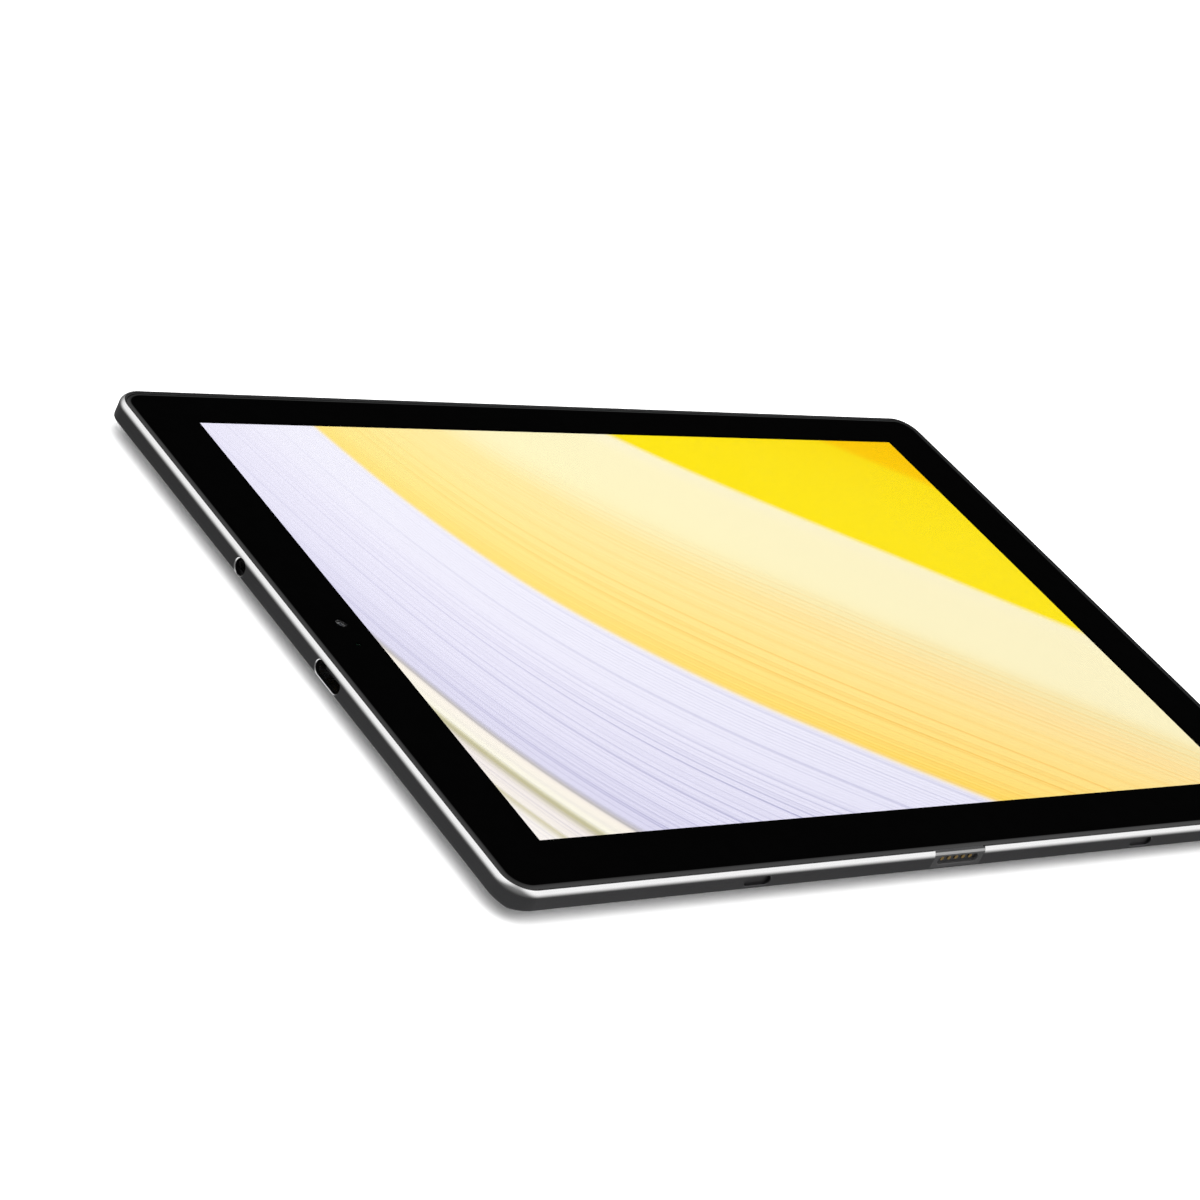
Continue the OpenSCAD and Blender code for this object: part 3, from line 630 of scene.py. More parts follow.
def circuit():
    """Green solder mask with tracks, pads and small parts."""
    f = Finish("circuit_board", (0.01, 0.08, 0.035, 1), 0.4, coat=0.3)
    cells = f.add("ShaderNodeTexVoronoi", distance="MANHATTAN", feature="F1")
    cells.inputs["Scale"].default_value = 700
    f.link(f.place, cells.inputs["Vector"])
    tracks = f.span(cells.outputs["Distance"], 0.42, 0.48)
    pads = f.span(f.noise(1400, 1), 0.68, 0.7)
    base = f.mix(tracks, (0.006, 0.035, 0.016, 1), (0.01, 0.065, 0.03, 1))
    f.drive("Base Color", f.mix(pads, base, (0.55, 0.5, 0.38, 1)))
    f.bump(f.math("ADD", tracks, pads), 0.4, 0.02 * MM)
    f.uneven_rough(0.3, 0.5, 500)
    return f.material


def pouch():
    """Battery cell in its foil pouch, slightly wrinkled."""
    f = Finish("pouch", grey(0.07, (0.9, 0.95, 1.1)), 0.35, 0.35)
    wrinkle = f.noise(55, 4, 0.6)
    f.drive("Base Color", f.mix(wrinkle, grey(0.05, (0.9, 0.95, 1.1)), grey(0.10, (0.95, 1, 1.1))))
    f.rough_by(wrinkle, 0.28, 0.45)
    f.bump(wrinkle, 0.5, 0.15 * MM)
    return f.material


def woven_mesh():
    """Fine acoustic mesh: two crossed sets of threads."""
    f = Finish("mesh", grey(0.02), 0.6, 0.3)
    pitch = 0.16 * MM
    threads = [
        f.math("ABSOLUTE", f.math("SINE", f.math("MULTIPLY", along, math.pi / pitch)))
        for along in list(f.xyz())[1:]
    ]
    weave = f.math("MULTIPLY", *threads)
    f.drive("Base Color", f.mix(weave, grey(0.004), grey(0.05)))
    f.bump(weave, 0.6, 0.04 * MM)
    return f.material


def woven_tape():
    f = Finish("tape", (0.8, 0.78, 0.7, 1), 0.6)
    f.vary((0.8, 0.78, 0.7, 1), 0.05, 120)
    f.bump(f.noise(1, 3, source=f.stretched(300, 4000, 300)), 0.3, 0.01 * MM)
    return f.material


LAMP_PITCH = 2.9 * MM


def lamp_strip():
    """White board with yellow lamps at an even pitch."""
    f = Finish("led_board", (0.75, 0.75, 0.7, 1), 0.45)
    wave = f.math("SINE", f.math("MULTIPLY", f.xyz()[0], math.pi / LAMP_PITCH))
    lamp = f.span(wave, 0.2, 0.3)
    f.drive("Base Color", f.mix(lamp, (0.7, 0.7, 0.66, 1), (0.85, 0.7, 0.2, 1)))
    f.uneven_rough(0.35, 0.5, 800)
    return f.material


# ---- the lit picture ----
# The picture is a fan of curved sheets seen on edge. A sheet's edge is a line on which one number, the
# level, stays the same: a smooth minimum of the distances from a steep line and from a slanted one.
SCREEN_MARGIN = 0.25 * MM  # the adhesive is this much larger than the picture
STEEP, SLANT = math.radians(83), math.radians(37)
STEEP_WEIGHT, STEEP_START, BLEND = 1.85, 97, 34
LEVEL_LOW, LEVEL_HIGH = -180, 130
OLIVE_LOW, OLIVE_HIGH = -133.7, -123.4
CREAM_EDGE, YELLOW_EDGE, PALE_EDGE, GOLD_EDGE, ORANGE_EDGE = -114, -40, 14, 56, 103

# (level, colour at the upper left, colour at the lower right)
SHEETS = [
    (LEVEL_LOW, "F1EBE6", "F1EBE6"),
    (OLIVE_LOW - 3, "F2ECE7", "F2ECE7"),
    (OLIVE_LOW, "CBC4A2", "CBC4A2"),
    (OLIVE_LOW + 0.7, "EFE8E0", "EFE8E0"),
    (OLIVE_HIGH - 4, "ECE4E1", "ECE4E1"),
    (OLIVE_HIGH - 0.2, "AFA974", "AFA974"),
    (OLIVE_HIGH + 1.0, "F4F0DF", "F4F0DF"),
    (CREAM_EDGE - 2, "F7EFE4", "F5ECE2"),
    (CREAM_EDGE, "A8A4A8", "A39FA6"),
    (CREAM_EDGE + 1.2, "D9D6EB", "CFCCE4"),
    (-95, "E6E3F4", "D9D7EC"),
    (-74, "EBE8F7", "DEDCEF"),
    (-55, "EFEDF9", "E4E2F4"),
    (YELLOW_EDGE - 1.0, "F0EEFA", "E6E4F4"),
    (YELLOW_EDGE + 1.0, "FDE17C", "FBD65E"),
    (YELLOW_EDGE + 8, "FEE68A", "FCDC78"),
    (YELLOW_EDGE + 34, "FFEA9E", "FEE294"),
    (PALE_EDGE - 7, "FFEBA4", "FDE3A2"),
    (PALE_EDGE + 3, "FFF3BE", "F8E7AE"),
    (PALE_EDGE + 10, "FFF5C3", "FCF2C6"),
    (GOLD_EDGE - 8, "FFF5C6", "FDF3C8"),
    (GOLD_EDGE - 1.2, "FDF4D2", "FDF3CC"),
    (GOLD_EDGE + 1.2, "FFE612", "FFE61C"),
    (GOLD_EDGE + 26, "FFE410", "FFE61E"),
    (ORANGE_EDGE - 1, "FFE012", "FEE218"),
    (ORANGE_EDGE + 2.5, "FFCB06", "FFCB06"),
    (LEVEL_HIGH, "FFC400", "FFC400"),
]
# Levels at which one sheet casts a darker line on the next, and how dark
LINE_STRENGTH = [
    (LEVEL_LOW, 0.35), (CREAM_EDGE, 0.5), (CREAM_EDGE + 6, 1), (-74, 0.9), (-55, 0.6), (YELLOW_EDGE - 1, 0.8),
    (YELLOW_EDGE + 1, 1), (PALE_EDGE - 20, 0.8), (PALE_EDGE, 0.45), (PALE_EDGE + 14, 0.06), (LEVEL_HIGH, 0.03),
]
PAGE_LINES = [
    (-107, 0.22), (-101, 0.13), (-90, 0.20), (-82.5, 0.10), (-74, 0.24), (-58, 0.06), (-34.5, 0.09),
    (-20, 0.13), (-8, 0.05),
]
# Random fine lines: about how far apart, how wide, their seed and how dark
FINE_LINES = [(5.6, 0.42, 30, 0.34), (2.2, 0.30, 70, 0.30), (1.0, 0.20, 110, 0.16)]
SHEET_PITCH, SHEET_TONE = 1.9, 0.035  # each thin sheet has a tone of its own
LILAC_SHADE, YELLOW_SHADE = (1.15, 1.15, 0.8, 1), (0.12, 0.62, 1.35, 1)  # what a line takes away
PICTURE_LIGHT = 1.32


def picture():
    f = Finish("lcd", grey(0.002), 0.3)
    f.set("Specular IOR Level", 0.0)
    low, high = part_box("optical_adhesive")
    centre = (low + high) / 2
    half_w = (high.x - low.x) / 2 - SCREEN_MARGIN
    half_h = (high.y - low.y) / 2 - SCREEN_MARGIN
    x, y, _ = f.xyz(f.vector("SUBTRACT", f.place, tuple(centre)))
    u = f.math("MULTIPLY", x, 1 / MM)
    v = f.math("MULTIPLY", y, 1 / MM)

    def across(angle):
        return f.math("MULTIPLY_ADD", u, math.sin(angle), f.math("MULTIPLY", v, math.cos(angle)))

    steep = f.math("MULTIPLY_ADD", across(STEEP), STEEP_WEIGHT, STEEP_START)
    parts = [f.math("EXPONENT", f.math("MULTIPLY", d, -1 / BLEND)) for d in (steep, across(SLANT))]
    total = f.math("LOGARITHM", f.math("ADD", *parts), math.e)
    level = f.math("MULTIPLY", total, -BLEND)
    along = f.math("MULTIPLY_ADD", u, math.cos(SLANT), f.math("MULTIPLY", v, -math.sin(SLANT)))
    wander = f.noise(9, 2)
    level = f.math("ADD", level, f.span(wander, 0.3, 0.7, -0.5, 0.5))

    def at(value):
        return (value - LEVEL_LOW) / (LEVEL_HIGH - LEVEL_LOW)

    share = f.span(level, LEVEL_LOW, LEVEL_HIGH)
    near = f.ramp(share, [(at(s), linear(a)) for s, a, _ in SHEETS])
    far = f.ramp(share, [(at(s), linear(b)) for s, _, b in SHEETS])
    colour = f.mix(f.span(along, -90, 100, smooth=True), near, far)

    # the sheets' edges: thin dark lines, strongest towards the lower right and gone from the pale stretch
    reach = f.span(along, -130, 30, 0.22, 1, smooth=True)
    stretch = f.ramp(share, [(at(s), grey(strength)) for s, strength in LINE_STRENGTH])

    def edges(pitch, width, seed):
        """Thin lines about pitch apart along the level, in millimetres, each with a depth of its own."""
        cells = f.add("ShaderNodeTexVoronoi", voronoi_dimensions="1D", feature="F1")
        cells.inputs["Scale"].default_value = 1
        f.link(f.math("MULTIPLY_ADD", level, 1 / pitch, seed), cells.inputs["W"])
        line = f.span(cells.outputs["Distance"], 0.25 * width / pitch, width / pitch, 1, 0, smooth=True)
        return f.math("MULTIPLY", line, f.span(f.xyz(cells.outputs["Color"])[0], 0, 1, 0.15, 1))

    marks = 0.0
    for pitch, width, seed, depth in FINE_LINES:
        marks = f.math("MULTIPLY_ADD", edges(pitch, width, seed), depth, marks)
    sheet = f.add("ShaderNodeTexWhiteNoise", noise_dimensions="1D")
    f.link(f.math("FLOOR", f.math("MULTIPLY", level, 1 / SHEET_PITCH)), sheet.inputs["W"])
    marks = f.math("MULTIPLY_ADD", sheet.outputs["Value"], SHEET_TONE, marks)
    marks = f.math("MULTIPLY", f.math("MULTIPLY", marks, reach), stretch)
    stops = [(0, grey(0))]
    for place, depth in PAGE_LINES:
        stops += [(at(place - 1.0), grey(0)), (at(place), grey(depth)), (at(place + 0.3), grey(0))]
    lines = f.ramp(share, stops + [(1, grey(0))])
    dark = f.math("ADD", marks, f.math("MULTIPLY", lines, f.span(along, -150, -20, 0.1, 1)))
    lilac = f.span(level, YELLOW_EDGE, YELLOW_EDGE - 1)
    tint = f.mix(lilac, YELLOW_SHADE, LILAC_SHADE)
    shade = f.mix(1.0, tint, dark, "MULTIPLY")
    colour = f.mix(1.0, colour, f.vector("SUBTRACT", (1, 1, 1), shade), "MULTIPLY")

    # only the top face inside the picture's edges gives light
    inside = f.math(
        "MULTIPLY", *(f.math("LESS_THAN", f.math("ABSOLUTE", d), half / MM) for d, half in ((u, half_w), (v, half_h)))
    )
    facing = f.xyz(f.add("ShaderNodeNewGeometry").outputs["Normal"])[2]
    lit = f.math("MULTIPLY", inside, f.math("GREATER_THAN", facing, 0.5))
    f.drive("Emission Color", f.mix(lit, grey(0), colour))
    f.set("Emission Strength", PICTURE_LIGHT)
    return f.material


# ---- finishes by slot ----
def make_finishes():
    warm_black = grey(0.022, (1, 0.99, 1.02))
    return {
        "anodised_metal": anodised(),
        # the shell's cut edge: bare metal with the fade of its highlight painted in, dark low on the soft turn and
        # bright at the crest
        "cut_metal_painted_highlight": cut_metal("cut_metal_painted_highlight", 0.085, 0.86, TOP - 1.6 * MM, TOP - 0.45 * MM),
        # the sockets' bare metal mouths, with painted shade: a little darker low down and lighter towards the top
        "mouth_metal": cut_metal("mouth_metal", 0.75, 0.85, WALL_Z, TOP),
        "matte_plastic_black": grained("matte_plastic_black", grey(0.026, (1, 1, 1.03)), 0.46, 3800, 0.012),
        # painted highlight: the dock's black plastic made lighter grey on its top edge for the sheen it catches there
        "dock_lip_painted_sheen": grained("dock_lip_painted_sheen", grey(0.2), 0.4, 3800, 0.008),
        "frame_plastic": grained("frame_plastic", grey(0.012), 0.5, 2600, 0.015),
        "cover_glass": clear_cover(),
        "rim_glass": rim_glass(),
        "black_ink": ink(),
        "clear_adhesive": clear_layer("clear_adhesive", 0.01),
        "lcd": picture(),
        "white_film": grained("white_film", grey(0.85), 0.55, 1800, 0.01, 0.02),
        "clear_acrylic": grained("clear_acrylic", (0.82, 0.9, 0.93, 1), 0.15, 1200, 0.005, 0.02, coat=0.6),
        "mirror_film": brushed("mirror_film", grey(0.88), 0.14, (900, 30, 900), 0.004),
        "led_board": lamp_strip(),
        "steel": brushed("steel", grey(0.56), 0.32),
        "flex": ribbon(),
        "pouch": pouch(),
        "tape": woven_tape(),
        "circuit_board": circuit(),
        "chip": grained("chip", grey(0.03), 0.55, 1900, 0.02),
        "tin_can": brushed("tin_can", grey(0.66, (1, 1, 0.97)), 0.3, (40, 1500, 1500), 0.006),
        "soft_pad": grained("soft_pad", (0.6, 0.4, 0.44, 1), 0.75, 900, 0.05),
        "port_metal": brushed("port_metal", grey(0.72), 0.22, (60, 1800, 1800), 0.004),
        "port_plastic": grained("port_plastic", grey(0.018), 0.42, 2400, 0.012),
        "gold": grained("gold", (0.6, 0.4, 0.14, 1), 0.25, 1500, 0.004, 0.05, 1.0),
        "camera_black": grained("camera_black", warm_black, 0.6, 3000, 0.01),
        "lens_glass": coated_lens(),
        "front_eye": sensor_eye(),
        "ring_metal": brushed("ring_metal", grey(0.42), 0.2, (1500, 1500, 9000), 0.003),
        "dark_glass": tinted_window(),
        "mesh": woven_mesh(),
        "button_metal": grained("button_metal", grey(0.1, (1, 1, 1.03)), 0.32, 5200, 0.005, 0.05, 1.0),
        "carrier_plastic": grained("carrier_plastic", (0.62, 0.6, 0.54, 1), 0.5, 1600, 0.02),
        "copper": brushed("copper", (0.75, 0.38, 0.2, 1), 0.25, (700, 40, 700), 0.005),
        "cable_jacket": grained("cable_jacket", grey(0.015), 0.35, 2500, 0.008),
        "magnet": grained("magnet", grey(0.58), 0.22, 1300, 0.006, 0.04, 1.0),
        "screw_steel": brushed("screw_steel", grey(0.3), 0.34, (2200, 2200, 300), 0.006),
    }


finishes = make_finishes()


def dress(piece, *names):
    slots = piece.data.materials
    while len(slots) > len(names):
        slots.pop()
    for i, name in enumerate(names):
        if i < len(slots):
            slots[i] = finishes[name]
        else:
            slots.append(finishes[name])


for part in frame["record"]["subparts"]:
    dress(frame["nodes"][part["node"]], part["material_slot"])
dress(frame["nodes"]["front_lens"], "front_eye")


def stands_for(piece, node, body, slot, *more_finishes):
    """Hands a built piece its finishes, its body and the CAD node it replaces."""
    dress(piece, slot, *more_finishes)
    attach(piece, body)
    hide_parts(node)


# ---- shell and strip ----
jack = middle("jack_sleeve")
JACK_R = 1.79 * MM
usb = middle("usb_shell")
USB_WALL = 0.25 * MM
usb_open = Vector((0, size_of("usb_shell").y - 2 * USB_WALL, size_of("usb_shell").z - 2 * USB_WALL))
dock_low, dock_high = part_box("dock_pad")
LOCATING_X, LOCATING_Z = 60.3 * MM, 5.4 * MM
LOCATING_SLOT = (7.2 * MM, 2.2 * MM, 0.65 * MM)  # length, height and depth
power_low, power_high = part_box("power_button")
volume_low, volume_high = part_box("volume_rocker")
FLANGE = 1.4 * MM  # a key's flange is this much longer than its face
KEY_H = 2.1 * MM
KEY_GAP = 0.09 * MM
TRAY_FACE = Vector((14, 0.95, 2)) * MM
TRAY_FACE_Z = 4.85 * MM
TRAY_BODY = Vector((11.9, 19, 0.8)) * MM
TRAY_Z = 4.25 * MM
GRILLE_HOLES, GRILLE_PITCH, GRILLE_R = 9, 2 * MM, 0.6 * MM
grille_z = middle("speaker_mesh").z
ring_middle = middle("rear_camera_ring")
RING_R = size_of("rear_camera_ring").x / 2
strip_low, strip_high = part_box("antenna_cap")
STRIP_SLANT = 2.2 * MM


def strip_region(gap):
    """The prism that holds the antenna strip, or with a gap a little less."""
    half = strip_high.x + SEAM - gap
    inner_y = strip_low.y - SEAM + gap
    points = [
        (-half, HALF_H + CUT), (-half + STRIP_SLANT, inner_y),
        (half - STRIP_SLANT, inner_y), (half, HALF_H + CUT),
    ]
    return prism("region", points, -CUT, TOP + CUT)


def key_hole(low, high):
    length, height = high.x - low.x - FLANGE + 2 * KEY_GAP, KEY_H + 2 * KEY_GAP
    return hole("upper", (low.x + high.x) / 2, (low.z + high.z) / 2, length, height, SIDE_SKIN + CUT, 0.09 * MM)


def wall_cutters():
    through = SIDE_SKIN + CUT
    tray_gap = 0.14 * MM
    mic, mic_hole = middle("microphone"), 0.9 * MM
    cutters = [
        hole("left", jack.y, jack.z, 2 * JACK_R, 2 * JACK_R, through, 0.27 * MM, bright=True),
        hole("left", usb.y, usb.z, usb_open.y, usb_open.z, through, 0.22 * MM, bright=True),
        key_hole(power_low, power_high),
        hole("upper", middle("card_tray").x, TRAY_FACE_Z, TRAY_FACE.x + tray_gap, TRAY_FACE.z + tray_gap,
             through, 0.06 * MM),
        hole("upper", mic.x, mic.z, mic_hole, mic_hole, through, 0.08 * MM),
    ]
    for sign in (-1, 1):
        cutters.append(hole("lower", sign * LOCATING_X, LOCATING_Z, *LOCATING_SLOT, 0.16 * MM))
    for node in ("speaker_upper", "speaker_lower"):
        for i in range(GRILLE_HOLES):
            along = middle(node).y + (i - (GRILLE_HOLES - 1) / 2) * GRILLE_PITCH
            cutters.append(hole("right", along, grille_z, 2 * GRILLE_R, 2 * GRILLE_R, through, 0.1 * MM))
    camera_hole = [(RING_R + SEAM, -CUT), (RING_R + SEAM, TOP - 1 * MM)]
    cutters.append(lathe("cutter", camera_hole, ring_middle))
    return joined("cutters", cutters)


def pockets():
    """Room cut inside the shell for the sockets' bodies and the card tray."""
    jack_low, jack_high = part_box("jack_housing")
    usb_low, usb_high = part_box("usb_shell")
    side = 0.06 * MM
    tray_x, tray_gap = middle("card_tray").x, 0.07 * MM
    rooms = [
        ((jack_low.x - side, jack_low.y - side, jack_low.z - 0.02 * MM),
         (-HALF_W + 7 * MM, jack_high.y + side, TOP + CUT)),
        ((usb_low.x - side, usb_low.y - side, usb_low.z - side),
         (usb_low.x + 6.6 * MM, usb_high.y + side, usb_high.z + side)),
        ((tray_x - TRAY_BODY.x / 2 - tray_gap, HALF_H - 7.4 * MM, TRAY_Z - TRAY_BODY.z / 2 - tray_gap),
         (tray_x + TRAY_BODY.x / 2 + tray_gap, HALF_H - SIDE_SKIN / 2, TRAY_Z + TRAY_BODY.z / 2 + tray_gap)),
    ]
    return joined("pockets", [block("pocket", low, high) for low, high in rooms])


SCREWS = [(-88, 57), (0, 57), (88, 57), (-88, -57), (0, -57), (88, -57), (102, 22), (102, -22)]


def posts():
    """Posts that take the frame's screws, each with its threaded hole."""
    made = []
    foot, crest = BACK_SKIN / 2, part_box("mid_frame")[0].z
    bottom, shoulder = crest - 3.2 * MM, crest - 0.1 * MM
    rim = [
        (0.02, bottom), (0.7, bottom), (0.7, shoulder), (0.8, crest), (1.6, crest), (1.7, shoulder),
        (1.7, foot + 0.5 * MM), (2.0, foot), (0.02, foot),
    ]
    for x, y in SCREWS:
        made.append(lathe("post", [(r * MM, z) for r, z in rim], Vector((x * MM, y * MM, 0)), 32))
    return joined("posts", made)


shell = hollow_body("shell")
boolean(shell, posts(), "UNION")
boolean(shell, strip_region(0))
notch_low = (dock_low.x - SEAM, -HALF_H - CUT, dock_low.z - SEAM)
notch_high = (dock_high.x + SEAM, dock_high.y + SEAM, TOP + CUT)
boolean(shell, block("notch", notch_low, notch_high))
boolean(shell, wall_cutters())
boolean(shell, pockets())
finish_shading(shell, crease=on_mitre)
stands_for(shell, "rear_shell", "chassis", "anodised_metal", "cut_metal_painted_highlight", "mouth_metal")

strip = hollow_body("antenna_strip")
boolean(strip, strip_region(SEAM), "INTERSECT")
boolean(strip, key_hole(volume_low, volume_high))
finish_shading(strip)
stands_for(strip, "antenna_cap", "chassis", "matte_plastic_black", "matte_plastic_black")

# ---- glass ----
glass_low, glass_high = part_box("cover_glass")
GLASS_DROP = 0.28 * MM
GLASS_RUN = 1.2 * MM
EYES = [((-114 * MM, 0), 1.35 * MM), ((-114 * MM, -7 * MM), 0.6 * MM)]  # holes in the printed border
INK_SINK = 0.003 * MM  # the printed border is sunk this far into the glass, as ink has no gap above it
glass_inset = HALF_W - glass_high.x


def cover_glass():
    """Flat glass whose edge rolls down all round, with its underside chamfered a little."""
    chamfer = 0.06 * MM
    bed = glass_low.z - INK_SINK
    path = [(glass_inset + chamfer, bed), (glass_inset, bed + chamfer)]
    brink = 0.1 * MM
    path.append((glass_inset, glass_high.z - GLASS_DROP - brink))
    steps = 4
    for k in range(1, steps + 1):
        a = math.radians(62) * k / steps
        z = glass_high.z - GLASS_DROP - brink * (1 - math.sin(a))
        path.append((glass_inset + brink * (1 - math.cos(a)), z))
    start = path[-1][0] - glass_inset
    drop = glass_high.z - path[-1][1]
    steps = 14
    for k in range(1, steps + 1):
        t = k / steps
        path.append((glass_inset + start + (GLASS_RUN - start) * t, glass_high.z - drop * (1 - t) ** 2.2))
    rings = [[(x, y, z) for x, y in outline(d)] for d, z in path]
    piece = loft("glass", rings, {i: 1 for i in range(1, len(rings) - 1)})

    # The top face is ink-backed, but for the picture's window and the holes over the camera and the sensor
    window_low, window_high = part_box("optical_adhesive")
    spare = 0.05 * MM
    sides = [(window_low.x - spare, window_high.x + spare), (window_low.y - spare, window_high.y + spare)]
    openings = [[(sides[0][i], sides[1][j]) for i, j in ((0, 0), (1, 0), (1, 1), (0, 1))]]
    for centre, radius in EYES:
        turn = [2 * math.pi * k / 32 for k in range(32)]
        openings.append([(centre[0] + radius * math.cos(a), centre[1] + radius * math.sin(a)) for a in turn])
    bm = bmesh.new()
    bm.from_mesh(piece.data)
    bm.normal_update()
    cap = max((face for face in bm.faces if face.normal.z > 0.9), key=lambda face: face.calc_area())
    edges = list(cap.edges)
    bmesh.ops.delete(bm, geom=[cap], context="FACES_ONLY")
    clear = []
    for points in openings:
        ring = [bm.verts.new((x, y, glass_high.z)) for x, y in points]
        edges += [bm.edges.new((ring[i - 1], ring[i])) for i in range(len(ring))]
        clear.append(ring)
    filled = bmesh.ops.triangle_fill(bm, use_beauty=True, use_dissolve=False, edges=edges)["geom"]
    for face in filled:
        if isinstance(face, bmesh.types.BMFace):
            face.material_index = 1
    for ring in clear:
        bm.faces.new(ring)
    bmesh.ops.recalc_face_normals(bm, faces=bm.faces)
    bm.to_mesh(piece.data)
    bm.free()
    return piece


glass = cover_glass()
finish_shading(glass, angle=40)
stands_for(glass, "cover_glass", "chassis", "cover_glass", "rim_glass")
glass.visible_shadow = False

# ---- dock ----
DOCK_RECESS = Vector((12.4, 0.9, 2)) * MM
DOCK_RECESS_Z = 5.85 * MM
DOCK_PINS, DOCK_PITCH, DOCK_PIN_R = 5, 2.2 * MM, 0.5 * MM


def dock():
    pad = solid_body("dock_block")
    boolean(pad, block("region", (dock_low.x, -HALF_H - CUT, dock_low.z), dock_high), "INTERSECT")
    seat_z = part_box("printed_border")[0].z - 0.02 * MM
    boolean(pad, prism("seat", outline(glass_inset - 0.03 * MM), seat_z, TOP + CUT))
    centre = (dock_low.x + dock_high.x) / 2
    boolean(pad, hole("lower", centre, DOCK_RECESS_Z, DOCK_RECESS.x, DOCK_RECESS.z, DOCK_RECESS.y, 0.22 * MM))
    pins = []
    for i in range(DOCK_PINS):
        along = centre + (i - (DOCK_PINS - 1) / 2) * DOCK_PITCH
        size = 2 * DOCK_PIN_R
        rings = [slot_ring("lower", along, DOCK_RECESS_Z, size, size, 0, d) for d in (0.4 * MM, 4 * MM)]
        pins.append(loft("pin", rings))
    boolean(pad, joined("pins", pins))
    return pad


pad = dock()
finish_shading(pad)
# the pad's top edge gets the painted sheen
stands_for(pad, "dock_pad", "chassis", "matte_plastic_black", "dock_lip_painted_sheen")

# ---- keys ----
FLANGE_T = 0.55 * MM
STEM_R = 0.6 * MM


def key(name, low, high, flange_in, stems):
    """A rounded key with a flange behind the wall and stems that press the switches."""
    x, z = (low.x + high.x) / 2, (low.z + high.z) / 2
    length = high.x - low.x - FLANGE
    out = high.y - HALF_H
    piece = rounded_bar("upper", x, z, length, KEY_H, -out, flange_in + 0.1 * MM, 0.28 * MM, crown=0.03 * MM)
    piece.name = name
    flange_rings = []
    bevel = 0.08 * MM
    for inset, depth in ((bevel, 0), (0, bevel), (0, FLANGE_T - bevel), (bevel, FLANGE_T)):
        hx, hz = (high.x - low.x) / 2 - inset, (high.z - low.z) / 2 - inset
        y = HALF_H - flange_in - depth
        flange_rings.append([(x + sx * hx, y, z + sz * hz) for sx, sz in ((-1, -1), (1, -1), (1, 1), (-1, 1))])
    boolean(piece, loft("flange", flange_rings), "UNION")
    tip, bevel = HALF_H - low.y, 0.12 * MM
    path = ((0, flange_in + FLANGE_T - 0.1 * MM), (0, tip - bevel), (-bevel, tip))
    for offset in stems:
        rings = [slot_ring("upper", x + offset, z, 2 * STEM_R, 2 * STEM_R, g, d) for g, d in path]
        boolean(piece, loft("stem", rings), "UNION")
    finish_shading(piece, angle=32)
    return piece


power = key("power_key", power_low, power_high, SIDE_SKIN + 0.1 * MM, [0])
stands_for(power, "power_button", "power_key", "button_metal")
volume = key("volume_key", volume_low, volume_high, SIDE_SKIN + 0.4 * MM, [-6 * MM, 6 * MM])
stands_for(volume, "volume_rocker", "volume_key", "button_metal")


# ---- card tray ----
def card_carrier():
    """The tray's face with its pin hole, and the thin frame behind it that holds the card."""
    x = middle("card_tray").x
    start = 0.02 * MM
    piece = rounded_bar("upper", x, TRAY_FACE_Z, TRAY_FACE.x, TRAY_FACE.z, start, start + TRAY_FACE.y, 0.12 * MM)
    piece.name = "card_carrier"
    y0, y1 = HALF_H - 0.5 * MM - TRAY_BODY.y, HALF_H - 0.5 * MM
    half, nose = TRAY_BODY.x / 2, 0.9 * MM
    z0, z1 = TRAY_Z - TRAY_BODY.z / 2, TRAY_Z + TRAY_BODY.z / 2
    plan = [
        (x - half, y1), (x - half, y0 + nose), (x - half + nose, y0),
        (x + half - nose, y0), (x + half, y0 + nose), (x + half, y1),
    ]
    boolean(piece, prism("frame", plan, z0, z1), "UNION")
    # the card lies on a ledge round an open window
    for name, wide, deep, near, sunk in (("ledge", 4.9, 18.05, 3.45, 0.1), ("window", 4, 17.05, 4.45, 1)):
        low = (x - wide * MM, HALF_H - deep * MM, TRAY_Z - sunk * MM)
        boolean(piece, block(name, low, (x + wide * MM, HALF_H - near * MM, TRAY_Z + MM)))
    pin = 0.9 * MM
    boolean(piece, hole("upper", x + 5.3 * MM, TRAY_FACE_Z + 0.3 * MM, pin, pin, TRAY_FACE.y + CUT, 0.1 * MM))
    finish_shading(piece, angle=32)
    return piece


carrier = card_carrier()
stands_for(carrier, "card_tray", "tray", "button_metal")


# ---- rear camera ----
def camera_ring():
    low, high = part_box("rear_camera_ring")
    out, inn = RING_R, RING_R - 0.65 * MM
    r = 0.18 * MM
    profile = [(out, high.z), (out, low.z + r)]
    for k in range(1, 6):
        a = math.pi / 2 * k / 5
        profile.append((out - r * (1 - math.cos(a)), low.z + r * (1 - math.sin(a))))
    profile += [(out - 0.28 * MM, low.z + 0.02 * MM), (inn, low.z + 0.35 * MM), (inn, high.z), (out, high.z)]
    return lathe("camera_ring", profile, ring_middle, 128)


def camera_window():
    """Disc with a rounded rim, ink-backed all round its clear middle."""
    low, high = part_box("rear_camera_window")
    r = (high.x - low.x) / 2
    edge = 0.08 * MM
    pane = 2.4 * MM
    profile = [(0.01 * MM, low.z), (pane, low.z), (r - edge, low.z), (r, low.z + edge)]
    profile += [(r, high.z - edge), (r - edge, high.z), (pane, high.z), (0.01 * MM, high.z)]
    return lathe("camera_window", profile, ring_middle, 96, {i: 1 for i in range(1, 6)})


def camera_lens():
    low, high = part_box("rear_camera_lens")
    r = (high.x - low.x) / 2
    profile = [(0.01 * MM, high.z), (r - 0.05 * MM, high.z), (r, high.z - 0.05 * MM), (r, low.z + 0.14 * MM)]
    for k in range(1, 9):
        t = k / 8
        profile.append((r * (1 - t) + 0.01 * MM, low.z + 0.14 * MM * (1 - t) ** 2))
    return lathe("camera_lens", profile, ring_middle, 64)


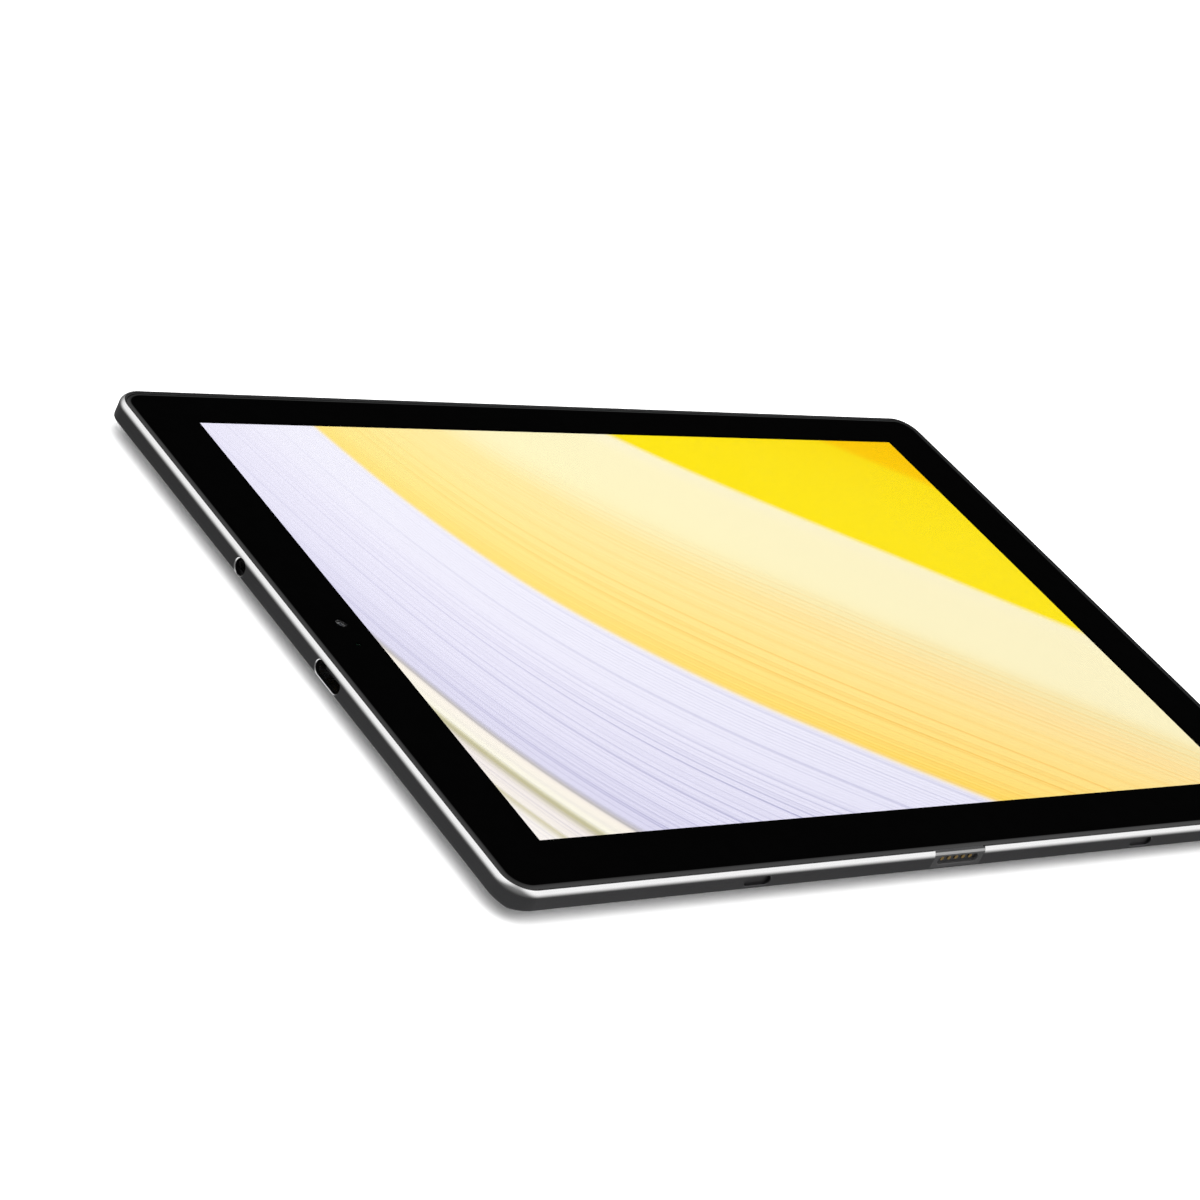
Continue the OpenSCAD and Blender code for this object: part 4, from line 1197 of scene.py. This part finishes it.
for build, node, slots in (
    (camera_ring, "rear_camera_ring", ("ring_metal",)),
    (camera_window, "rear_camera_window", ("dark_glass", "rim_glass")),
    (camera_lens, "rear_camera_lens", ("lens_glass",)),
):
    piece = build()
    finish_shading(piece, angle=35)
    stands_for(piece, node, "chassis", *slots)
    if node == "rear_camera_window":
        piece.visible_shadow = False

# ---- floor and light ----
FLOOR_SIZE = 6.0
FLOOR_GAP = 0.02 * MM
AMBIENT_UP, AMBIENT_DOWN = 0.19, 0.20
# Broad soft lights in the room: way, how bright, and the angles at which they are full and gone
GLOWS = [
    ((0.68, -0.48, 0.56), 0.86, 18, 62),  # lights the bright edge of the lower long side
    ((-0.46, 0.57, 0.68), 0.82, 18, 62),  # lights the bright edge of the left short side
    ((0, 0, 1), 0.30, 12, 60),
    ((0, 0, -1), 1.2, 10, 66),  # lights the back and the wall's lower edge
]
# A dark screen that stands where the glass mirrors towards the camera, so that the border stays black
SCREEN_WAY = Vector((0.678, 0.576, 0.456))
SCREEN_ACROSS = Vector((0.735, -0.543, -0.406))
SCREEN_UP = Vector((0.014, 0.611, -0.792))
SCREEN_HALF = (0.30, 0.20)


def make_floor():
    bm = bmesh.new()
    bmesh.ops.create_grid(bm, x_segments=4, y_segments=4, size=FLOOR_SIZE)
    for vert in bm.verts:
        vert.co.z = -FLOOR_GAP
    mesh = bpy.data.meshes.new("floor")
    bm.to_mesh(mesh)
    bm.free()
    f = Finish("floor_paper", grey(0.93), 0.9)
    f.set("Specular IOR Level", 0.0)
    # seen from below, the floor lets the back show
    mixer = f.add("ShaderNodeMixShader")
    f.link(f.add("ShaderNodeNewGeometry").outputs["Backfacing"], mixer.inputs[0])
    f.link(f.shader.outputs[0], mixer.inputs[1])
    f.link(f.add("ShaderNodeBsdfTransparent").outputs[0], mixer.inputs[2])
    f.link(mixer.outputs[0], f.tree.nodes["Material Output"].inputs["Surface"])
    mesh.materials.append(f.material)
    floor = new_object("floor", mesh)
    floor.visible_glossy = False


def make_world():
    """A pale room with broad soft lights; the camera itself sees plain white beyond the floor."""
    world = bpy.data.worlds.new("studio")
    world.use_nodes = True
    g = Graph(world.node_tree)
    background = world.node_tree.nodes["Background"]
    background.inputs["Color"].default_value = (1, 1, 1, 1)
    way = g.add("ShaderNodeTexCoord").outputs["Generated"]

    def dot(other):
        node = g.add("ShaderNodeVectorMath", operation="DOT_PRODUCT")
        g.link(way, node.inputs[0])
        node.inputs[1].default_value = Vector(other)
        return node.outputs["Value"]

    total = g.span(g.xyz(way)[2], -0.15, 0.15, AMBIENT_DOWN, AMBIENT_UP)
    for aim, bright, full, gone in GLOWS:
        near = dot(Vector(aim).normalized())
        glow = g.span(near, math.cos(math.radians(gone)), math.cos(math.radians(full)), 0, bright, smooth=True)
        total = g.math("ADD", total, glow)
    off_x = g.math("DIVIDE", dot(SCREEN_ACROSS), SCREEN_HALF[0])
    off_y = g.math("DIVIDE", dot(SCREEN_UP), SCREEN_HALF[1])
    off = g.math("SQRT", g.math("ADD", g.math("MULTIPLY", off_x, off_x), g.math("MULTIPLY", off_y, off_y)))
    clear = g.math("MAXIMUM", g.span(off, 0.8, 1.4, 0.01, 1, smooth=True), g.math("LESS_THAN", dot(SCREEN_WAY), 0))
    total = g.math("MULTIPLY", total, clear)
    paths = g.add("ShaderNodeLightPath")
    choose = g.add("ShaderNodeMix")
    g.fill(choose, paths.outputs["Is Camera Ray"], None, total, 1.0)
    g.link(choose.outputs[0], background.inputs["Strength"])
    scene.world = world


def make_top_light(name, strength, shadow):
    """Even light from above on the floor, too soft to draw a shadow's edge. No shiny surface shows it."""
    lamp = bpy.data.lights.new(name, "SUN")
    lamp.energy = strength
    lamp.angle = math.radians(110)
    lamp.use_shadow = shadow
    holder = bpy.data.objects.new(name, lamp)
    holder.visible_glossy = False
    scene.collection.objects.link(holder)


make_floor()
make_world()
make_top_light("top_light", 1.5, True)
make_top_light("floor_light", 2.5, False)
scene.view_settings.view_transform = "Standard"
